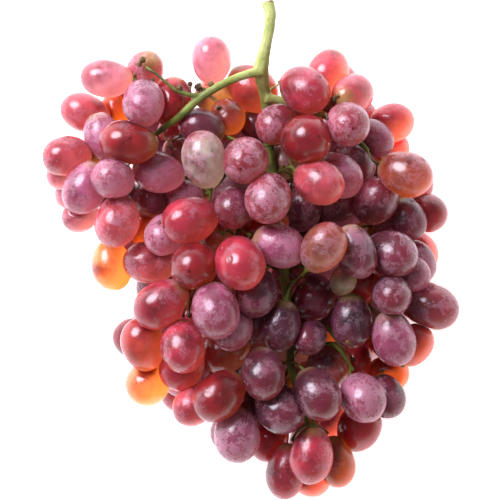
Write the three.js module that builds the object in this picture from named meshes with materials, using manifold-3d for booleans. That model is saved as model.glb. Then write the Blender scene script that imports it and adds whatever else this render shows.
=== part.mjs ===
// A picked bunch of red table grapes, lying on a flat surface with its front up.
// Millimetres, +Z up. +Y runs along the bunch to the cut end of its stalk, and z = 0 is the surface.
import * as THREE from "three";
import { mergeVertices } from "three/addons/utils/BufferGeometryUtils.js";
import Module from "manifold-3d";

const wasm = await Module();
wasm.setup();

// Driving dimensions
const bunchWidth = 188; // from the left wing's tip to the right wing's
const bunchWidthInPicture = 418; // the same span in picture pixels
const pictureCentreX = 250; // picture pixels, x to the right
const pictureCentreY = 250; // picture pixels, y down
const scale = bunchWidth / bunchWidthInPicture;
const originX = -0.6; // shifts the finished bunch so that its box is centred on the origin
const originY = 0.1;

const lengthToWidth = 1.3; // a whole berry seen from the side
const stemEndTaper = 0.08; // how much narrower a berry is near its stalk
const blossomBall = 0.88; // radii of a berry's two end balls, in half widths
const stalkBall = 0.8;
const squeeze = 1.6; // how far two neighbouring berries press into each other
const leastPress = 1.2; // below this a pair counts as clear of each other
const leastJoin = 1; // cubic millimetres that two berries of one spray share
const weakContact = 120; // makes a spray grow over its firmest contacts first
const nodeGap = 0.4; // between berries of two sprays
const stalkGap = 0.35; // between a stalk and a berry
const stalkDent = 2.5; // how far a stalk may press into a berry that sinks onto it
const tableSink = 1.3; // how much of a resting berry is pressed flat
const pinnedGive = 0.35; // how easily a measured berry moves sideways

const berrySides = 7;
const berryRings = 4;
const facetSwell = 1.06; // keeps a faceted berry as bulky as a round one
const extraSwell = 0.04; // added where flat facets miss a neighbour
const weldDistance = 1e-4;

// The dome over the bunch: rounded lobes [x, y, half width, half length] in the picture, and a height.
const domeFoot = 12;
const domeLobes = [
  { x: 172, y: 160, halfWidth: 138, halfLength: 140, height: 76 },
  { x: 335, y: 185, halfWidth: 125, halfLength: 160, height: 80 },
  { x: 262, y: 195, halfWidth: 115, halfLength: 125, height: 84 },
  { x: 262, y: 290, halfWidth: 175, halfLength: 190, height: 88 },
  { x: 275, y: 390, halfWidth: 150, halfLength: 120, height: 74 },
  { x: 345, y: 285, halfWidth: 122, halfLength: 120, height: 76 },
];
const widestHeight = 46; // the dome height at which the underside starts to curve in
const undersideStart = 36;
const undersideSlope = 1.35;

// Stalks: points [x, y] in the picture with a height in mm, and a radius in mm at each.
const stalks = {
  main: [
    [267.5, 3, 54, 3.1],
    [270.5, 14, 55, 2.8],
    [269, 32, 55, 2.5],
    [265.5, 48, 54, 2.6],
    [261, 70, 51, 3.8],
    [264, 88, 45, 3],
    [267, 104, 40, 2.8],
    [269, 150, 35, 2.8],
    [275, 200, 35, 2.7],
    [283, 260, 37, 2.5],
    [288, 310, 39, 2.3],
    [291, 365, 40, 2.0],
    [300, 400, 38, 1.7],
    [308, 425, 36, 1.3],
  ],
  leftArm: [
    [262, 72, 52, 2.6],
    [247, 75, 54, 2.1],
    [227, 83, 56, 1.9],
    [200, 99, 57, 2.1],
    [179, 118, 55, 1.8],
    [160, 131, 51, 1.5],
    [140, 150, 46, 1.3],
  ],
  upperTwig: [
    [202, 97, 57, 1.5],
    [190, 96, 58, 1.1],
    [179, 93, 58, 1.1],
    [172, 88, 58, 0.9],
    [157, 75, 56, 0.8],
    [146, 68, 54, 0.9],
  ],
  rightArm: [
    [265, 98, 45, 2.6],
    [280, 100, 43, 2.0],
    [308, 108, 41, 1.7],
    [340, 124, 40, 1.5],
    [368, 150, 40, 1.2],
  ],
  lowerLateral: [
    [290, 345, 39, 1.5],
    [308, 352, 39, 1.2],
    [325, 343, 41, 1.1],
    [336, 346, 42, 1.1],
    [354, 371, 40, 0.9],
  ],
};

// Berries measured in the picture, front ones first: x, y, length, width, and the angle of the long
// axis from the picture's right, anticlockwise. "end" marks an angle that points at the stalk, and
// "up" one whose stalk end also leans towards the viewer.
const frontBerries = [
  [302, 137, 52, 49, 10],
  [211, 59, 49, 40, 270, "end"],
  [107, 78, 54, 38, 355, "end"],
  [142, 103, 49, 42, 88, "end"],
  [132, 140, 60, 44, -8],
  [65, 154, 50, 40, 12],
  [115, 176, 44, 41, -20],
  [159, 172, 53, 42, -12],
  [203, 161, 59, 44, 280, "end"],
  [246, 159, 48, 46, 60],
  [118, 221, 55, 44, 75],
  [189, 218, 58, 47, 15, "end"],
  [349, 124, 45, 44, -50],
  [304, 89, 54, 46, -35],
  [404, 174, 57, 45, -20],
  [318, 185, 53, 44, -25],
  [270, 200, 52, 46, 80],
  [376, 202, 51, 44, 55],
  [242, 262, 55, 50, 110],
  [194, 264, 48, 47, 50],
  [160, 304, 60, 46, 35],
  [217, 311, 58, 47, 105],
  [184, 346, 54, 44, 100],
  [263, 372, 54, 43, 95],
  [220, 394, 58, 46, 45],
  [317, 392, 56, 45, 120],
  [310, 454, 59, 44, 85, "end"],
  [322, 248, 54, 43, 235, "end"],
  [389, 294, 42, 39, -60],
  [392, 340, 58, 43, 105],
  [351, 320, 56, 41, 90],
  [281, 325, 53, 40, 80, "end"],
  [362, 397, 52, 45, 120],
  [355, 251, 57, 40, 110],
  [390, 251, 54, 46, -20],
];
const secondBerries = [
  [145, 69, 42, 37, 60, "up"],
  [171, 101, 51, 40, 75],
  [102, 135, 50, 38, 105],
  [84, 111, 53, 38, -20],
  [86, 188, 56, 42, 65],
  [204, 128, 49, 37, -20],
  [184, 195, 40, 32, 0],
  [236, 206, 45, 39, 70],
  [164, 234, 44, 38, 60],
  [352, 94, 44, 40, 210, "up"],
  [276, 121, 45, 38, 60],
  [338, 175, 52, 42, -40],
  [356, 159, 50, 42, -60],
  [374, 139, 42, 34, -50],
  [391, 123, 52, 39, 15],
  [408, 218, 47, 36, 120],
  [150, 263, 56, 41, -5],
  [279, 245, 56, 42, -20],
  [410, 272, 42, 36, -30],
  [432, 305, 58, 44, -15],
  [141, 345, 55, 43, 105],
  [184, 361, 56, 45, 75],
  [232, 329, 46, 38, 60],
  [258, 291, 50, 42, 70],
  [195, 406, 47, 38, 50],
  [237, 433, 58, 45, 95],
  [279, 407, 54, 47, 130],
  [287, 471, 58, 40, 80],
  [335, 463, 54, 38, 105],
  [361, 429, 52, 43, 60],
  [388, 395, 46, 38, 110],
  [415, 348, 46, 36, 60],
  [310, 337, 36, 33, 50],
  [227, 115, 38, 34, 120],
];
const thirdBerries = [
  [330, 70, 50, 40, 70],
  [429, 212, 40, 36, -45],
  [300, 212, 48, 40, 60],
  [283, 160, 42, 36, 0],
  [314, 297, 46, 42, 70],
  [418, 262, 46, 36, 110],
  [389, 223, 30, 28, 0],
  [252, 86, 57, 44, -40],
  [214, 94, 40, 34, 0],
  [255, 124, 32, 30, 90],
  [234, 142, 36, 30, 0],
  [114, 106, 38, 30, 90],
  [111, 265, 53, 38, 100],
  [146, 383, 48, 41, 60],
  [226, 352, 52, 42, 20],
  [188, 377, 50, 38, 20],
  [270, 441, 46, 36, 60],
  [329, 366, 50, 42, 60],
  [80, 214, 38, 32, 30],
  [62, 174, 34, 28, 0],
  [67, 191, 34, 28, 100],
  [117, 247, 44, 36, 60],
  [150, 198, 36, 34, 60],
  [146, 226, 44, 34, 90],
  [177, 150, 34, 30, 90],
  [340, 205, 38, 32, 30],
  [189, 292, 44, 36, 0],
  [308, 229, 40, 34, 20],
  [218, 277, 40, 34, 30],
];
const deepBerries = [
  [424, 253, 42, 34, 100],
  [243, 103, 40, 34, 0],
  [175, 131, 38, 32, 0],
  [94, 154, 40, 34, 0],
  [133, 241, 40, 34, 60],
  [320, 215, 40, 34, 60],
  [344, 217, 42, 34, 0],
  [326, 150, 42, 36, 0],
  [389, 148, 42, 34, 0],
  [218, 232, 42, 36, 0],
  [240, 232, 42, 36, 90],
  [389, 376, 44, 36, 0],
  [356, 361, 42, 34, 90],
  [254, 319, 42, 36, 90],
  [336, 422, 38, 32, 90],
  [326, 426, 38, 32, 0],
  [310, 482, 38, 32, 0],
  [362, 344, 38, 32, 0],
  [362, 285, 38, 34, 0],
  [330, 313, 40, 34, 90],
  [291, 188, 40, 34, 0],
  [374, 168, 38, 32, 60],
  [250, 408, 42, 36, 60],
  [214, 372, 40, 34, 0],
  [258, 142, 34, 30, 0],
];
const unripeBerry = [342, 281, 30, 27, 70];

// Hidden berries: a seeded draw fills what the measured ones leave free, from the surface up.
const drawSeed = 20;
const hiddenMost = 58;
const hiddenTries = 70;
const hiddenWidthLeast = 16.5;
const hiddenWidthMost = 20;
const hiddenCover = 5; // how far below the dome a hidden berry stays
const hiddenReach = 1.25; // a hidden berry lies under berries whose width is stretched by this
const hiddenStretch = 1.15; // the draw's field is this much longer than wide
const hiddenTurn = 2; // radians either side of the way to the stalk, together
const hiddenTilt = 1.2; // radians between the least and the most tilt
const hiddenDroop = 0.3; // the share of tilts that point down
const thinnestStack = 24; // between underside and dome, for hidden berries to fit in
// Places where light shows through the bunch, [x, y] in the picture
const lightGaps = [
  [202, 110],
  [101, 96],
  [287, 371],
  [364, 359],
  [332, 433],
];

// Sprays: each grows from one berry near this point [x, y] in the picture, and a height in mm.
const sprays = {
  berries_left_wing: [80, 150, 42],
  berries_left_shoulder: [140, 110, 56],
  berries_left_flank: [105, 225, 42],
  berries_crown_right: [310, 85, 55],
  berries_right_shoulder: [350, 120, 58],
  berries_right_wing: [400, 175, 50],
  berries_right_flank: [412, 265, 50],
  berries_middle: [245, 190, 72],
  berries_middle_left: [175, 265, 66],
  berries_lower_left: [160, 340, 56],
  berries_lower_front: [230, 320, 72],
  berries_tail_left: [215, 400, 48],
  berries_tail: [300, 450, 44],
  berries_tail_right: [370, 400, 48],
  berries_under_left: [140, 190, 12],
  berries_under_right: [345, 190, 12],
  berries_under_middle: [240, 270, 12],
  berries_under_tail: [290, 370, 12],
};

const stalkSides = 7;
const tubeStep = 6;
const stalkChecks = 40; // places along each stalk that a pedicel may grow from
const pedicelSides = 4;
const pedicelRadius = 0.75;
const pedicelFoot = 1.2; // wider where it leaves the stalk
const receptacleRadius = 1.3;
const pedicelMargin = 0.8; // spare room beside the gap
const pedicelBend = 4;
const pedicelLongest = 45;
const pedicelTargets = 40;
const pedicelChecks = 12;
const pedicelStart = 3; // places that lie close to its own berry
const pedicelRounds = 4;
const pedicelMost = 52;

const berryColours = [0x8f3346, 0x9c3a48, 0xa8414a, 0x7d2f47, 0xb24d4c, 0x93405a];
const stalkColour = 0x8fa644;
const unripeColour = 0x8c9a52;
const berryRoughness = 0.35;
const stalkRoughness = 0.6;

// Picture to bunch
function acrossAt(pixelX) {
  return (pixelX - pictureCentreX) * scale;
}

function alongAt(pixelY) {
  return (pictureCentreY - pixelY) * scale;
}

// A seeded draw that any language repeats exactly
function seededDraw(seed) {
  const multiplier = 16807;
  const modulus = 2147483647;
  let state = seed;
  return () => {
    state = (state * multiplier) % modulus;
    return state / modulus;
  };
}

function domeAt(x, y) {
  let height = 0;
  for (const lobe of domeLobes) {
    const dx = (x - acrossAt(lobe.x)) / (lobe.halfWidth * scale);
    const dy = (y - alongAt(lobe.y)) / (lobe.halfLength * scale);
    const inside = 1 - dx * dx - dy * dy;
    if (inside > 0) {
      height = Math.max(height, domeFoot + (lobe.height - domeFoot) * Math.sqrt(inside));
    }
  }
  return Math.max(height, domeFoot);
}

function undersideAt(x, y) {
  return Math.max(0, undersideStart - (domeAt(x, y) - widestHeight) * undersideSlope);
}

const mainLine = stalks.main.map(([x, y, z]) => [acrossAt(x), alongAt(y), z]);

// The angle from a berry to the main stalk, a little further up the bunch
function angleToStalk(x, y) {
  const climb = 14;
  let nearest = mainLine[0];
  for (const point of mainLine) {
    const here = Math.hypot(point[0] - x, point[1] - y - climb);
    if (here < Math.hypot(nearest[0] - x, nearest[1] - y - climb)) nearest = point;
  }
  return Math.atan2(nearest[1] - y, nearest[0] - x);
}

// A berry as three balls along its axis, which points from its blossom end to its stalk end
function makeBerry(x, y, halfWidth, halfLength, angle, tilt) {
  const axis = [Math.cos(angle) * Math.cos(tilt), Math.sin(angle) * Math.cos(tilt), Math.sin(tilt)];
  const ballRadii = [blossomBall * halfWidth, halfWidth, stalkBall * halfWidth];
  const along = [ballRadii[0] - halfLength, 0, halfLength - ballRadii[2]];
  const balls = along.map((t, i) => ({
    dx: axis[0] * t,
    dy: axis[1] * t,
    dz: axis[2] * t,
    radius: ballRadii[i],
  }));
  const halfHeight = Math.hypot(halfLength * axis[2], halfWidth * Math.hypot(axis[0], axis[1]));
  const shape = { halfWidth, halfLength, halfHeight, axis, balls, swell: facetSwell };
  return { x, y, z: 0, homeX: x, homeY: y, pinned: true, ...shape };
}

function measuredBerry([pixelX, pixelY, long, wide, degrees, note]) {
  const x = acrossAt(pixelX);
  const y = alongAt(pixelY);
  const width = wide * scale;
  const seen = long * scale;
  const length = Math.max(seen, width * lengthToWidth);
  let angle = THREE.MathUtils.degToRad(degrees);
  if (!note && Math.cos(angle - angleToStalk(x, y)) < 0) angle += Math.PI;
  const shortening = (length * length - seen * seen) / (length * length - width * width);
  const lean = Math.asin(Math.sqrt(Math.min(1, Math.max(0, shortening))));
  return makeBerry(x, y, width / 2, length / 2, angle, note === "up" ? lean : -lean);
}

// The highest place at which a berry still lies behind all the balls placed before it
function highestBehind(berry, placed) {
  let height = domeAt(berry.x, berry.y) - berry.halfHeight;
  for (const ball of placed) {
    for (const own of berry.balls) {
      const reach = ball.radius + own.radius + ball.gap;
      const apart = Math.hypot(berry.x + own.dx - ball.x, berry.y + own.dy - ball.y);
      if (apart < reach) {
        height = Math.min(height, ball.z - Math.sqrt(reach * reach - apart * apart) - own.dz);
      }
    }
  }
  return Math.max(height, berry.halfHeight);
}

// The lowest free place at or above a start height
function lowestFree(berry, placed, start) {
  const blocked = [];
  for (const ball of placed) {
    for (const own of berry.balls) {
      const reach = ball.radius + own.radius + ball.gap;
      const apart = Math.hypot(berry.x + own.dx - ball.x, berry.y + own.dy - ball.y);
      if (apart < reach) {
        const half = Math.sqrt(reach * reach - apart * apart);
        blocked.push([ball.z - half - own.dz, ball.z + half - own.dz]);
      }
    }
  }
  blocked.sort((a, b) => a[0] - b[0]);
  let height = start;
  for (const [low, high] of blocked) {
    if (height > low && height < high) height = high;
  }
  return height;
}

function ballsOf(berry) {
  return berry.balls.map((own) => ({
    x: berry.x + own.dx,
    y: berry.y + own.dy,
    z: berry.z + own.dz,
    radius: own.radius,
    gap: -squeeze,
  }));
}

// A stalk as a row of balls, for berries to keep clear of
function stalkBalls(points) {
  const spacing = 2.5;
  const balls = [];
  for (let i = 1; i < points.length; i++) {
    const [x0, y0, z0, r0] = points[i - 1];
    const [x1, y1, z1, r1] = points[i];
    const length = Math.hypot((x1 - x0) * scale, (y1 - y0) * scale, z1 - z0);
    const steps = Math.ceil(length / spacing);
    for (let k = 0; k < steps; k++) {
      const t = k / steps;
      balls.push({
        x: acrossAt(x0 + (x1 - x0) * t),
        y: alongAt(y0 + (y1 - y0) * t),
        z: z0 + (z1 - z0) * t,
        radius: r0 + (r1 - r0) * t,
        gap: 2 * stalkGap,
      });
    }
  }
  return balls;
}

function coveredByBerries(x, y, berries) {
  return berries.some((berry) =>
    berry.balls.some(
      (own) => Math.hypot(berry.x + own.dx - x, berry.y + own.dy - y) < own.radius * hiddenReach,
    ),
  );
}

function clearOfLightGaps(berry) {
  return lightGaps.every(
    ([x, y]) => Math.hypot(berry.x - acrossAt(x), berry.y - alongAt(y)) > berry.halfLength + 1,
  );
}

function isHidden(berry, berries) {
  const rimPoints = 6;
  if (!clearOfLightGaps(berry)) return false;
  for (let i = 0; i < rimPoints; i++) {
    const turn = (i * 2 * Math.PI) / rimPoints;
    const x = berry.x + berry.halfWidth * Math.cos(turn);
    const y = berry.y + berry.halfWidth * Math.sin(turn);
    if (!coveredByBerries(x, y, berries)) return false;
  }
  return true;
}

function addHiddenBerries(berries, placed) {
  const draw = seededDraw(drawSeed);
  const measured = berries.slice();
  for (let count = 0; count < hiddenMost; count++) {
    let best = null;
    let bestRise = Infinity;
    for (let i = 0; i < hiddenTries; i++) {
      const x = (draw() - 0.5) * bunchWidth;
      const y = (draw() - 0.5) * bunchWidth * hiddenStretch;
      const width = hiddenWidthLeast + (hiddenWidthMost - hiddenWidthLeast) * draw();
      const turn = (draw() - 0.5) * hiddenTurn;
      const tilt = (draw() - hiddenDroop) * hiddenTilt;
      const low = undersideAt(x, y);
      const high = domeAt(x, y);
      if (high - low < thinnestStack) continue;
      const berry = makeBerry(
        x,
        y,
        width / 2,
        (width * lengthToWidth) / 2,
        angleToStalk(x, y) + turn,
        tilt,
      );
      berry.z = lowestFree(berry, placed, low + berry.halfHeight - tableSink);
      const rise = berry.z - low;
      if (berry.z + berry.halfHeight > high - hiddenCover || rise >= bestRise) continue;
      if (!isHidden(berry, measured)) continue;
      best = berry;
      bestRise = rise;
    }
    if (!best) continue;
    best.pinned = false;
    berries.push(best);
    placed.push(...ballsOf(best));
  }
}

// The two balls of a pair of berries that come closest, with the gap between them
function closestBalls(a, b) {
  let found = null;
  for (const p of a.balls) {
    for (const q of b.balls) {
      const dx = b.x + q.dx - a.x - p.dx;
      const dy = b.y + q.dy - a.y - p.dy;
      const dz = b.z + q.dz - a.z - p.dz;
      const apart = Math.sqrt(dx * dx + dy * dy + dz * dz);
      const gap = apart - p.radius - q.radius;
      if (!found || gap < found.gap) {
        found = { gap, normal: [dx / apart, dy / apart, dz / apart], from: p, to: q };
      }
    }
  }
  return found;
}

function moveBerry(berry, normal, amount) {
  const sideways = berry.pinned ? pinnedGive : 1;
  berry.x += normal[0] * amount * sideways;
  berry.y += normal[1] * amount * sideways;
  berry.z += normal[2] * amount;
}

// Berries settle until neighbours press on each other, measured ones staying near their places
function settle(berries, stalkRow) {
  const rounds = 90;
  const reach = 34; // centre distance within which two berries can meet
  const pull = 0.12;
  const pullRange = 2.2;
  const mostDrift = 1.1;
  for (let round = 0; round < rounds; round++) {
    for (let i = 0; i < berries.length; i++) {
      const a = berries[i];
      for (let j = i + 1; j < berries.length; j++) {
        const b = berries[j];
        if (Math.abs(a.x - b.x) > reach || Math.abs(a.y - b.y) > reach) continue;
        if (Math.abs(a.z - b.z) > reach) continue;
        const near = closestBalls(a, b);
        const excess = near.gap + squeeze;
        if (excess > pullRange) continue;
        const step = excess < 0 ? excess / 2 : (excess * pull) / 2;
        moveBerry(a, near.normal, step);
        moveBerry(b, near.normal, -step);
      }
      for (const ball of stalkRow) {
        if (Math.abs(a.x - ball.x) > reach || Math.abs(a.y - ball.y) > reach) continue;
        for (const own of a.balls) {
          const dx = a.x + own.dx - ball.x;
          const dy = a.y + own.dy - ball.y;
          const dz = a.z + own.dz - ball.z;
          const apart = Math.sqrt(dx * dx + dy * dy + dz * dz);
          const overlap = ball.radius + own.radius + ball.gap - apart;
          if (overlap > 0) moveBerry(a, [dx / apart, dy / apart, dz / apart], overlap);
        }
      }
      a.z = Math.max(a.z, a.halfHeight - tableSink);
      if (a.pinned) {
        a.x = Math.min(a.homeX + mostDrift, Math.max(a.homeX - mostDrift, a.x));
        a.y = Math.min(a.homeY + mostDrift, Math.max(a.homeY - mostDrift, a.y));
      }
    }
  }
}

// The nearest pair between two lists of berries
function nearestPair(some, others) {
  let found = null;
  for (const a of some) {
    for (const b of others) {
      const near = closestBalls(a, b);
      if (!found || near.gap < found.near.gap) found = { near, a, b };
    }
  }
  return found;
}

// Neighbours that press on each other, as lists of numbers
function contactsOf(berries, touching) {
  const contacts = berries.map(() => []);
  for (let i = 0; i < berries.length; i++) {
    for (let j = i + 1; j < berries.length; j++) {
      if (!touching(i, j)) continue;
      contacts[i].push(j);
      contacts[j].push(i);
    }
  }
  return contacts;
}

// Numbers of the berries that hang together with the first one of a list
function groupFrom(first, contacts) {
  const group = new Set([first]);
  for (const i of group) contacts[i].forEach((j) => group.add(j));
  return group;
}

function restsOnStalk(berry, stalkRow) {
  return stalkRow.some((ball) =>
    berry.balls.some((own) => {
      const dx = berry.x + own.dx - ball.x;
      const dy = berry.y + own.dy - ball.y;
      const dz = berry.z + own.dz - ball.z;
      return Math.sqrt(dx * dx + dy * dy + dz * dz) < ball.radius + own.radius - stalkDent;
    }),
  );
}

// Loose berries sink until they press on the others, or stay where a stalk is in the way
function sinkOnto(loose, rest, stalkRow) {
  const step = 0.25;
  const mostSteps = 120;
  const heights = loose.map((berry) => berry.z);
  for (let count = 0; count < mostSteps; count++) {
    for (const berry of loose) berry.z -= step;
    if (loose.some((berry) => restsOnStalk(berry, stalkRow) || berry.z < berry.halfHeight - tableSink)) break;
    if (nearestPair(loose, rest).near.gap < -squeeze) return true;
  }
  loose.forEach((berry, i) => {
    berry.z = heights[i];
  });
  return false;
}

// A berry or two left on their own sink or are moved against their nearest neighbour
function gatherLoose(berries, stalkRow) {
  const mostRounds = 30;
  for (let round = 0; round < mostRounds; round++) {
    const pressing = (i, j) => closestBalls(berries[i], berries[j]).gap < -leastPress;
    const contacts = contactsOf(berries, pressing);
    const groups = [];
    const seen = new Set();
    berries.forEach((_, i) => {
      if (seen.has(i)) return;
      const group = groupFrom(i, contacts);
      group.forEach((j) => seen.add(j));
      groups.push(group);
    });
    if (groups.length === 1) return;
    groups.sort((a, b) => a.size - b.size);
    const loose = [...groups[0]].map((i) => berries[i]);
    const rest = berries.filter((berry) => !loose.includes(berry));
    if (sinkOnto(loose, rest, stalkRow)) continue;
    const { near } = nearestPair(loose, rest);
    const amount = near.gap + squeeze;
    for (const berry of loose) {
      berry.x += near.normal[0] * amount;
      berry.y += near.normal[1] * amount;
      berry.z += near.normal[2] * amount;
    }
  }
}

// Each berry joins the spray whose first berry it hangs together with over the shortest way
function ownersOf(berries) {
  const solids = berries.map((berry, i) => berrySolid(berry, [], [], i));
  const common = (i, j) => solids[i].intersect(solids[j]).volume();
  const touching = (i, j) => closestBalls(berries[i], berries[j]).gap < 0 && common(i, j) > leastJoin;
  const contacts = contactsOf(berries, touching);
  const distance = (a, b) => Math.hypot(a.x - b.x, a.y - b.y, a.z - b.z);
  const way = berries.map(() => Infinity);
  const owner = berries.map(() => null);
  for (const [name, [pixelX, pixelY, z]] of Object.entries(sprays)) {
    const place = { x: acrossAt(pixelX), y: alongAt(pixelY), z };
    let first = owner.indexOf(null);
    berries.forEach((berry, i) => {
      if (!owner[i] && distance(berry, place) < distance(berries[first], place)) first = i;
    });
    owner[first] = name;
    way[first] = 0;
  }
  const open = new Set(berries.keys());
  while (open.size) {
    let next = -1;
    for (const i of open) if (next < 0 || way[i] < way[next]) next = i;
    open.delete(next);
    for (const j of contacts[next]) {
      const length = way[next] + distance(berries[next], berries[j]) + weakContact / common(next, j);
      if (length < way[j]) {
        way[j] = length;
        owner[j] = owner[next];
      }
    }
  }
  return owner;
}

// Berries that no spray reaches are swollen a little, with what lies nearest, until one does
function shareOut(berries) {
  const mostRounds = 8;
  let owner = ownersOf(berries);
  for (let round = 0; round < mostRounds && owner.includes(null); round++) {
    const taken = berries.filter((_, i) => owner[i]);
    for (const berry of berries.filter((_, i) => !owner[i])) {
      berry.swell += extraSwell;
      nearestPair([berry], taken).b.swell += extraSwell;
    }
    owner = ownersOf(berries);
  }
  return owner;
}

function placeBerries() {
  const berries = [];
  const placed = []; // balls that later berries lie behind
  const place = (row) => {
    const berry = measuredBerry(row);
    berry.z = highestBehind(berry, placed);
    berries.push(berry);
    placed.push(...ballsOf(berry));
    return berry;
  };
  frontBerries.forEach(place);
  const stalkRow = Object.values(stalks).flatMap(stalkBalls);
  placed.push(...[stalks.leftArm, stalks.upperTwig].flatMap(stalkBalls));
  secondBerries.forEach(place);
  const unripe = place(unripeBerry);
  placed.push(...stalkRow);
  thirdBerries.forEach(place);
  deepBerries.forEach(place);
  addHiddenBerries(berries, placed);
  settle(berries, stalkRow);
  const ripe = berries.filter((berry) => berry !== unripe);
  gatherLoose(ripe, stalkRow);
  return { ripe, unripe, stalkRow };
}

// A geometry whose faces share their corners
function welded(geometry) {
  const bare = geometry.clone();
  bare.deleteAttribute("normal");
  bare.deleteAttribute("uv");
  return mergeVertices(bare, weldDistance);
}

// Closed solid from a welded geometry
function solidFrom(geometry) {
  const mesh = new wasm.Mesh({
    numProp: 3,
    vertProperties: geometry.attributes.position.array,
    triVerts: new Uint32Array(geometry.index.array),
  });
  return new wasm.Manifold(mesh);
}

function joined(solids) {
  let level = solids;
  while (level.length > 1) {
    const next = [];
    for (let i = 0; i < level.length; i += 2) {
      next.push(i + 1 < level.length ? level[i].add(level[i + 1]) : level[i]);
    }
    level = next;
  }
  return level[0];
}

function meshFrom(name, solid, colour, roughness) {
  const { vertProperties, triVerts, numProp } = solid.getMesh();
  const positions = new Float32Array((vertProperties.length / numProp) * 3);
  for (let i = 0; i * numProp < vertProperties.length; i++) {
    positions.set(vertProperties.subarray(i * numProp, i * numProp + 3), i * 3);
  }
  const geometry = new THREE.BufferGeometry();
  geometry.setAttribute("position", new THREE.BufferAttribute(positions, 3));
  geometry.setIndex(new THREE.BufferAttribute(new Uint32Array(triVerts), 1));
  geometry.computeVertexNormals();
  const material = new THREE.MeshStandardMaterial({ color: colour, roughness, metalness: 0 });
  const mesh = new THREE.Mesh(geometry, material);
  mesh.name = name;
  return mesh;
}

function addPlane(planes, berry, own, normal, reach) {
  const centre = [berry.x + own.dx, berry.y + own.dy, berry.z + own.dz];
  const offset = centre[0] * normal[0] + centre[1] * normal[1] + centre[2] * normal[2] + reach;
  planes.push({ normal, offset });
}

// Flat places on a berry, where it meets a berry of another spray or a stalk
function flatPlaces(berry, strangers, stalkRow) {
  const planes = [];
  for (const other of strangers) {
    const near = closestBalls(berry, other);
    if (near.gap > squeeze) continue;
    addPlane(planes, berry, near.from, near.normal, near.from.radius + (near.gap - nodeGap) / 2);
  }
  for (const ball of stalkRow) {
    const balls = [{ dx: 0, dy: 0, dz: 0, radius: ball.radius }];
    const near = closestBalls(berry, { x: ball.x, y: ball.y, z: ball.z, balls });
    if (near.gap > squeeze) continue;
    addPlane(planes, berry, near.from, near.normal, near.from.radius + near.gap - stalkGap);
  }
  return planes;
}

function pressFlat(point, planes) {
  const passes = 6;
  for (let pass = 0; pass < passes; pass++) {
    for (const { normal, offset } of planes) {
      const beyond = point.x * normal[0] + point.y * normal[1] + point.z * normal[2] - offset;
      if (beyond > 0) {
        point.x -= beyond * normal[0];
        point.y -= beyond * normal[1];
        point.z -= beyond * normal[2];
      }
    }
  }
}

function berrySolid(berry, strangers, stalkRow, roll) {
  const geometry = welded(new THREE.SphereGeometry(1, berrySides, berryRings));
  const turn = new THREE.Quaternion().setFromUnitVectors(
    new THREE.Vector3(0, 1, 0),
    new THREE.Vector3(...berry.axis),
  );
  const planes = flatPlaces(berry, strangers, stalkRow);
  const position = geometry.attributes.position;
  const point = new THREE.Vector3();
  for (let i = 0; i < position.count; i++) {
    point.fromBufferAttribute(position, i);
    const narrow = (1 - stemEndTaper * point.y) * berry.swell;
    point.set(
      point.x * berry.halfWidth * narrow,
      point.y * berry.halfLength,
      point.z * berry.halfWidth * narrow,
    );
    point.applyAxisAngle(new THREE.Vector3(0, 1, 0), roll);
    point.applyQuaternion(turn);
    point.add(new THREE.Vector3(berry.x, berry.y, berry.z));
    pressFlat(point, planes);
    position.setXYZ(i, point.x, point.y, point.z);
  }
  return solidFrom(geometry);
}

// What the surface presses flat
function aboveSurface(solid) {
  const depth = 20;
  const side = 3 * bunchWidth;
  const slab = new THREE.BoxGeometry(side, side, depth).translate(0, 0, -depth / 2);
  return solid.subtract(solidFrom(welded(slab)));
}

// Every berry of every spray as its own solid, pressed by the berries of other sprays
function pressedSolids(ripe, unripe, stalkRow, owner) {
  return ripe.map((berry, i) => {
    const others = ripe.filter((other, j) => owner[j] !== owner[i] && mayMeet(berry, other));
    return berrySolid(berry, [...others, unripe], stalkRow, i);
  });
}

function mayMeet(a, b) {
  return Math.hypot(a.x - b.x, a.y - b.y, a.z - b.z) < a.halfLength + b.halfLength + squeeze;
}

// A berry that has lost touch with its spray goes over to a neighbouring one
function mendSprays(ripe, unripe, stalkRow, owner) {
  const mostRounds = 6;
  for (let round = 0; round < mostRounds; round++) {
    const solids = pressedSolids(ripe, unripe, stalkRow, owner);
    const touching = (i, j) =>
      owner[i] === owner[j] &&
      mayMeet(ripe[i], ripe[j]) &&
      solids[i].intersect(solids[j]).volume() > leastJoin / 2;
    const contacts = contactsOf(ripe, touching);
    const lost = [];
    for (const name of Object.keys(sprays)) {
      const members = owner.flatMap((own, i) => (own === name ? [i] : []));
      const groups = [];
      for (const i of members) {
        if (!groups.some((group) => group.has(i))) groups.push(groupFrom(i, contacts));
      }
      groups.sort((a, b) => b.size - a.size);
      groups.slice(1).forEach((group) => lost.push(...group));
    }
    if (!lost.length) return solids;
    for (const i of lost) {
      const { b } = nearestPair([ripe[i]], ripe.filter((_, j) => owner[j] !== owner[i]));
      owner[i] = owner[ripe.indexOf(b)];
    }
  }
  return pressedSolids(ripe, unripe, stalkRow, owner);
}

function berryNodes({ ripe, unripe, stalkRow }) {
  const owner = shareOut(ripe);
  const solids = mendSprays(ripe, unripe, stalkRow, owner);
  const nodes = Object.keys(sprays).map((name, number) => {
    const own = solids.filter((_, i) => owner[i] === name);
    const colour = berryColours[number % berryColours.length];
    return meshFrom(name, aboveSurface(joined(own)), colour, berryRoughness);
  });
  const green = berrySolid(unripe, ripe.filter((other) => mayMeet(unripe, other)), stalkRow, 0);
  nodes.push(meshFrom("unripe_berry", green, unripeColour, berryRoughness));
  return nodes;
}

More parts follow.
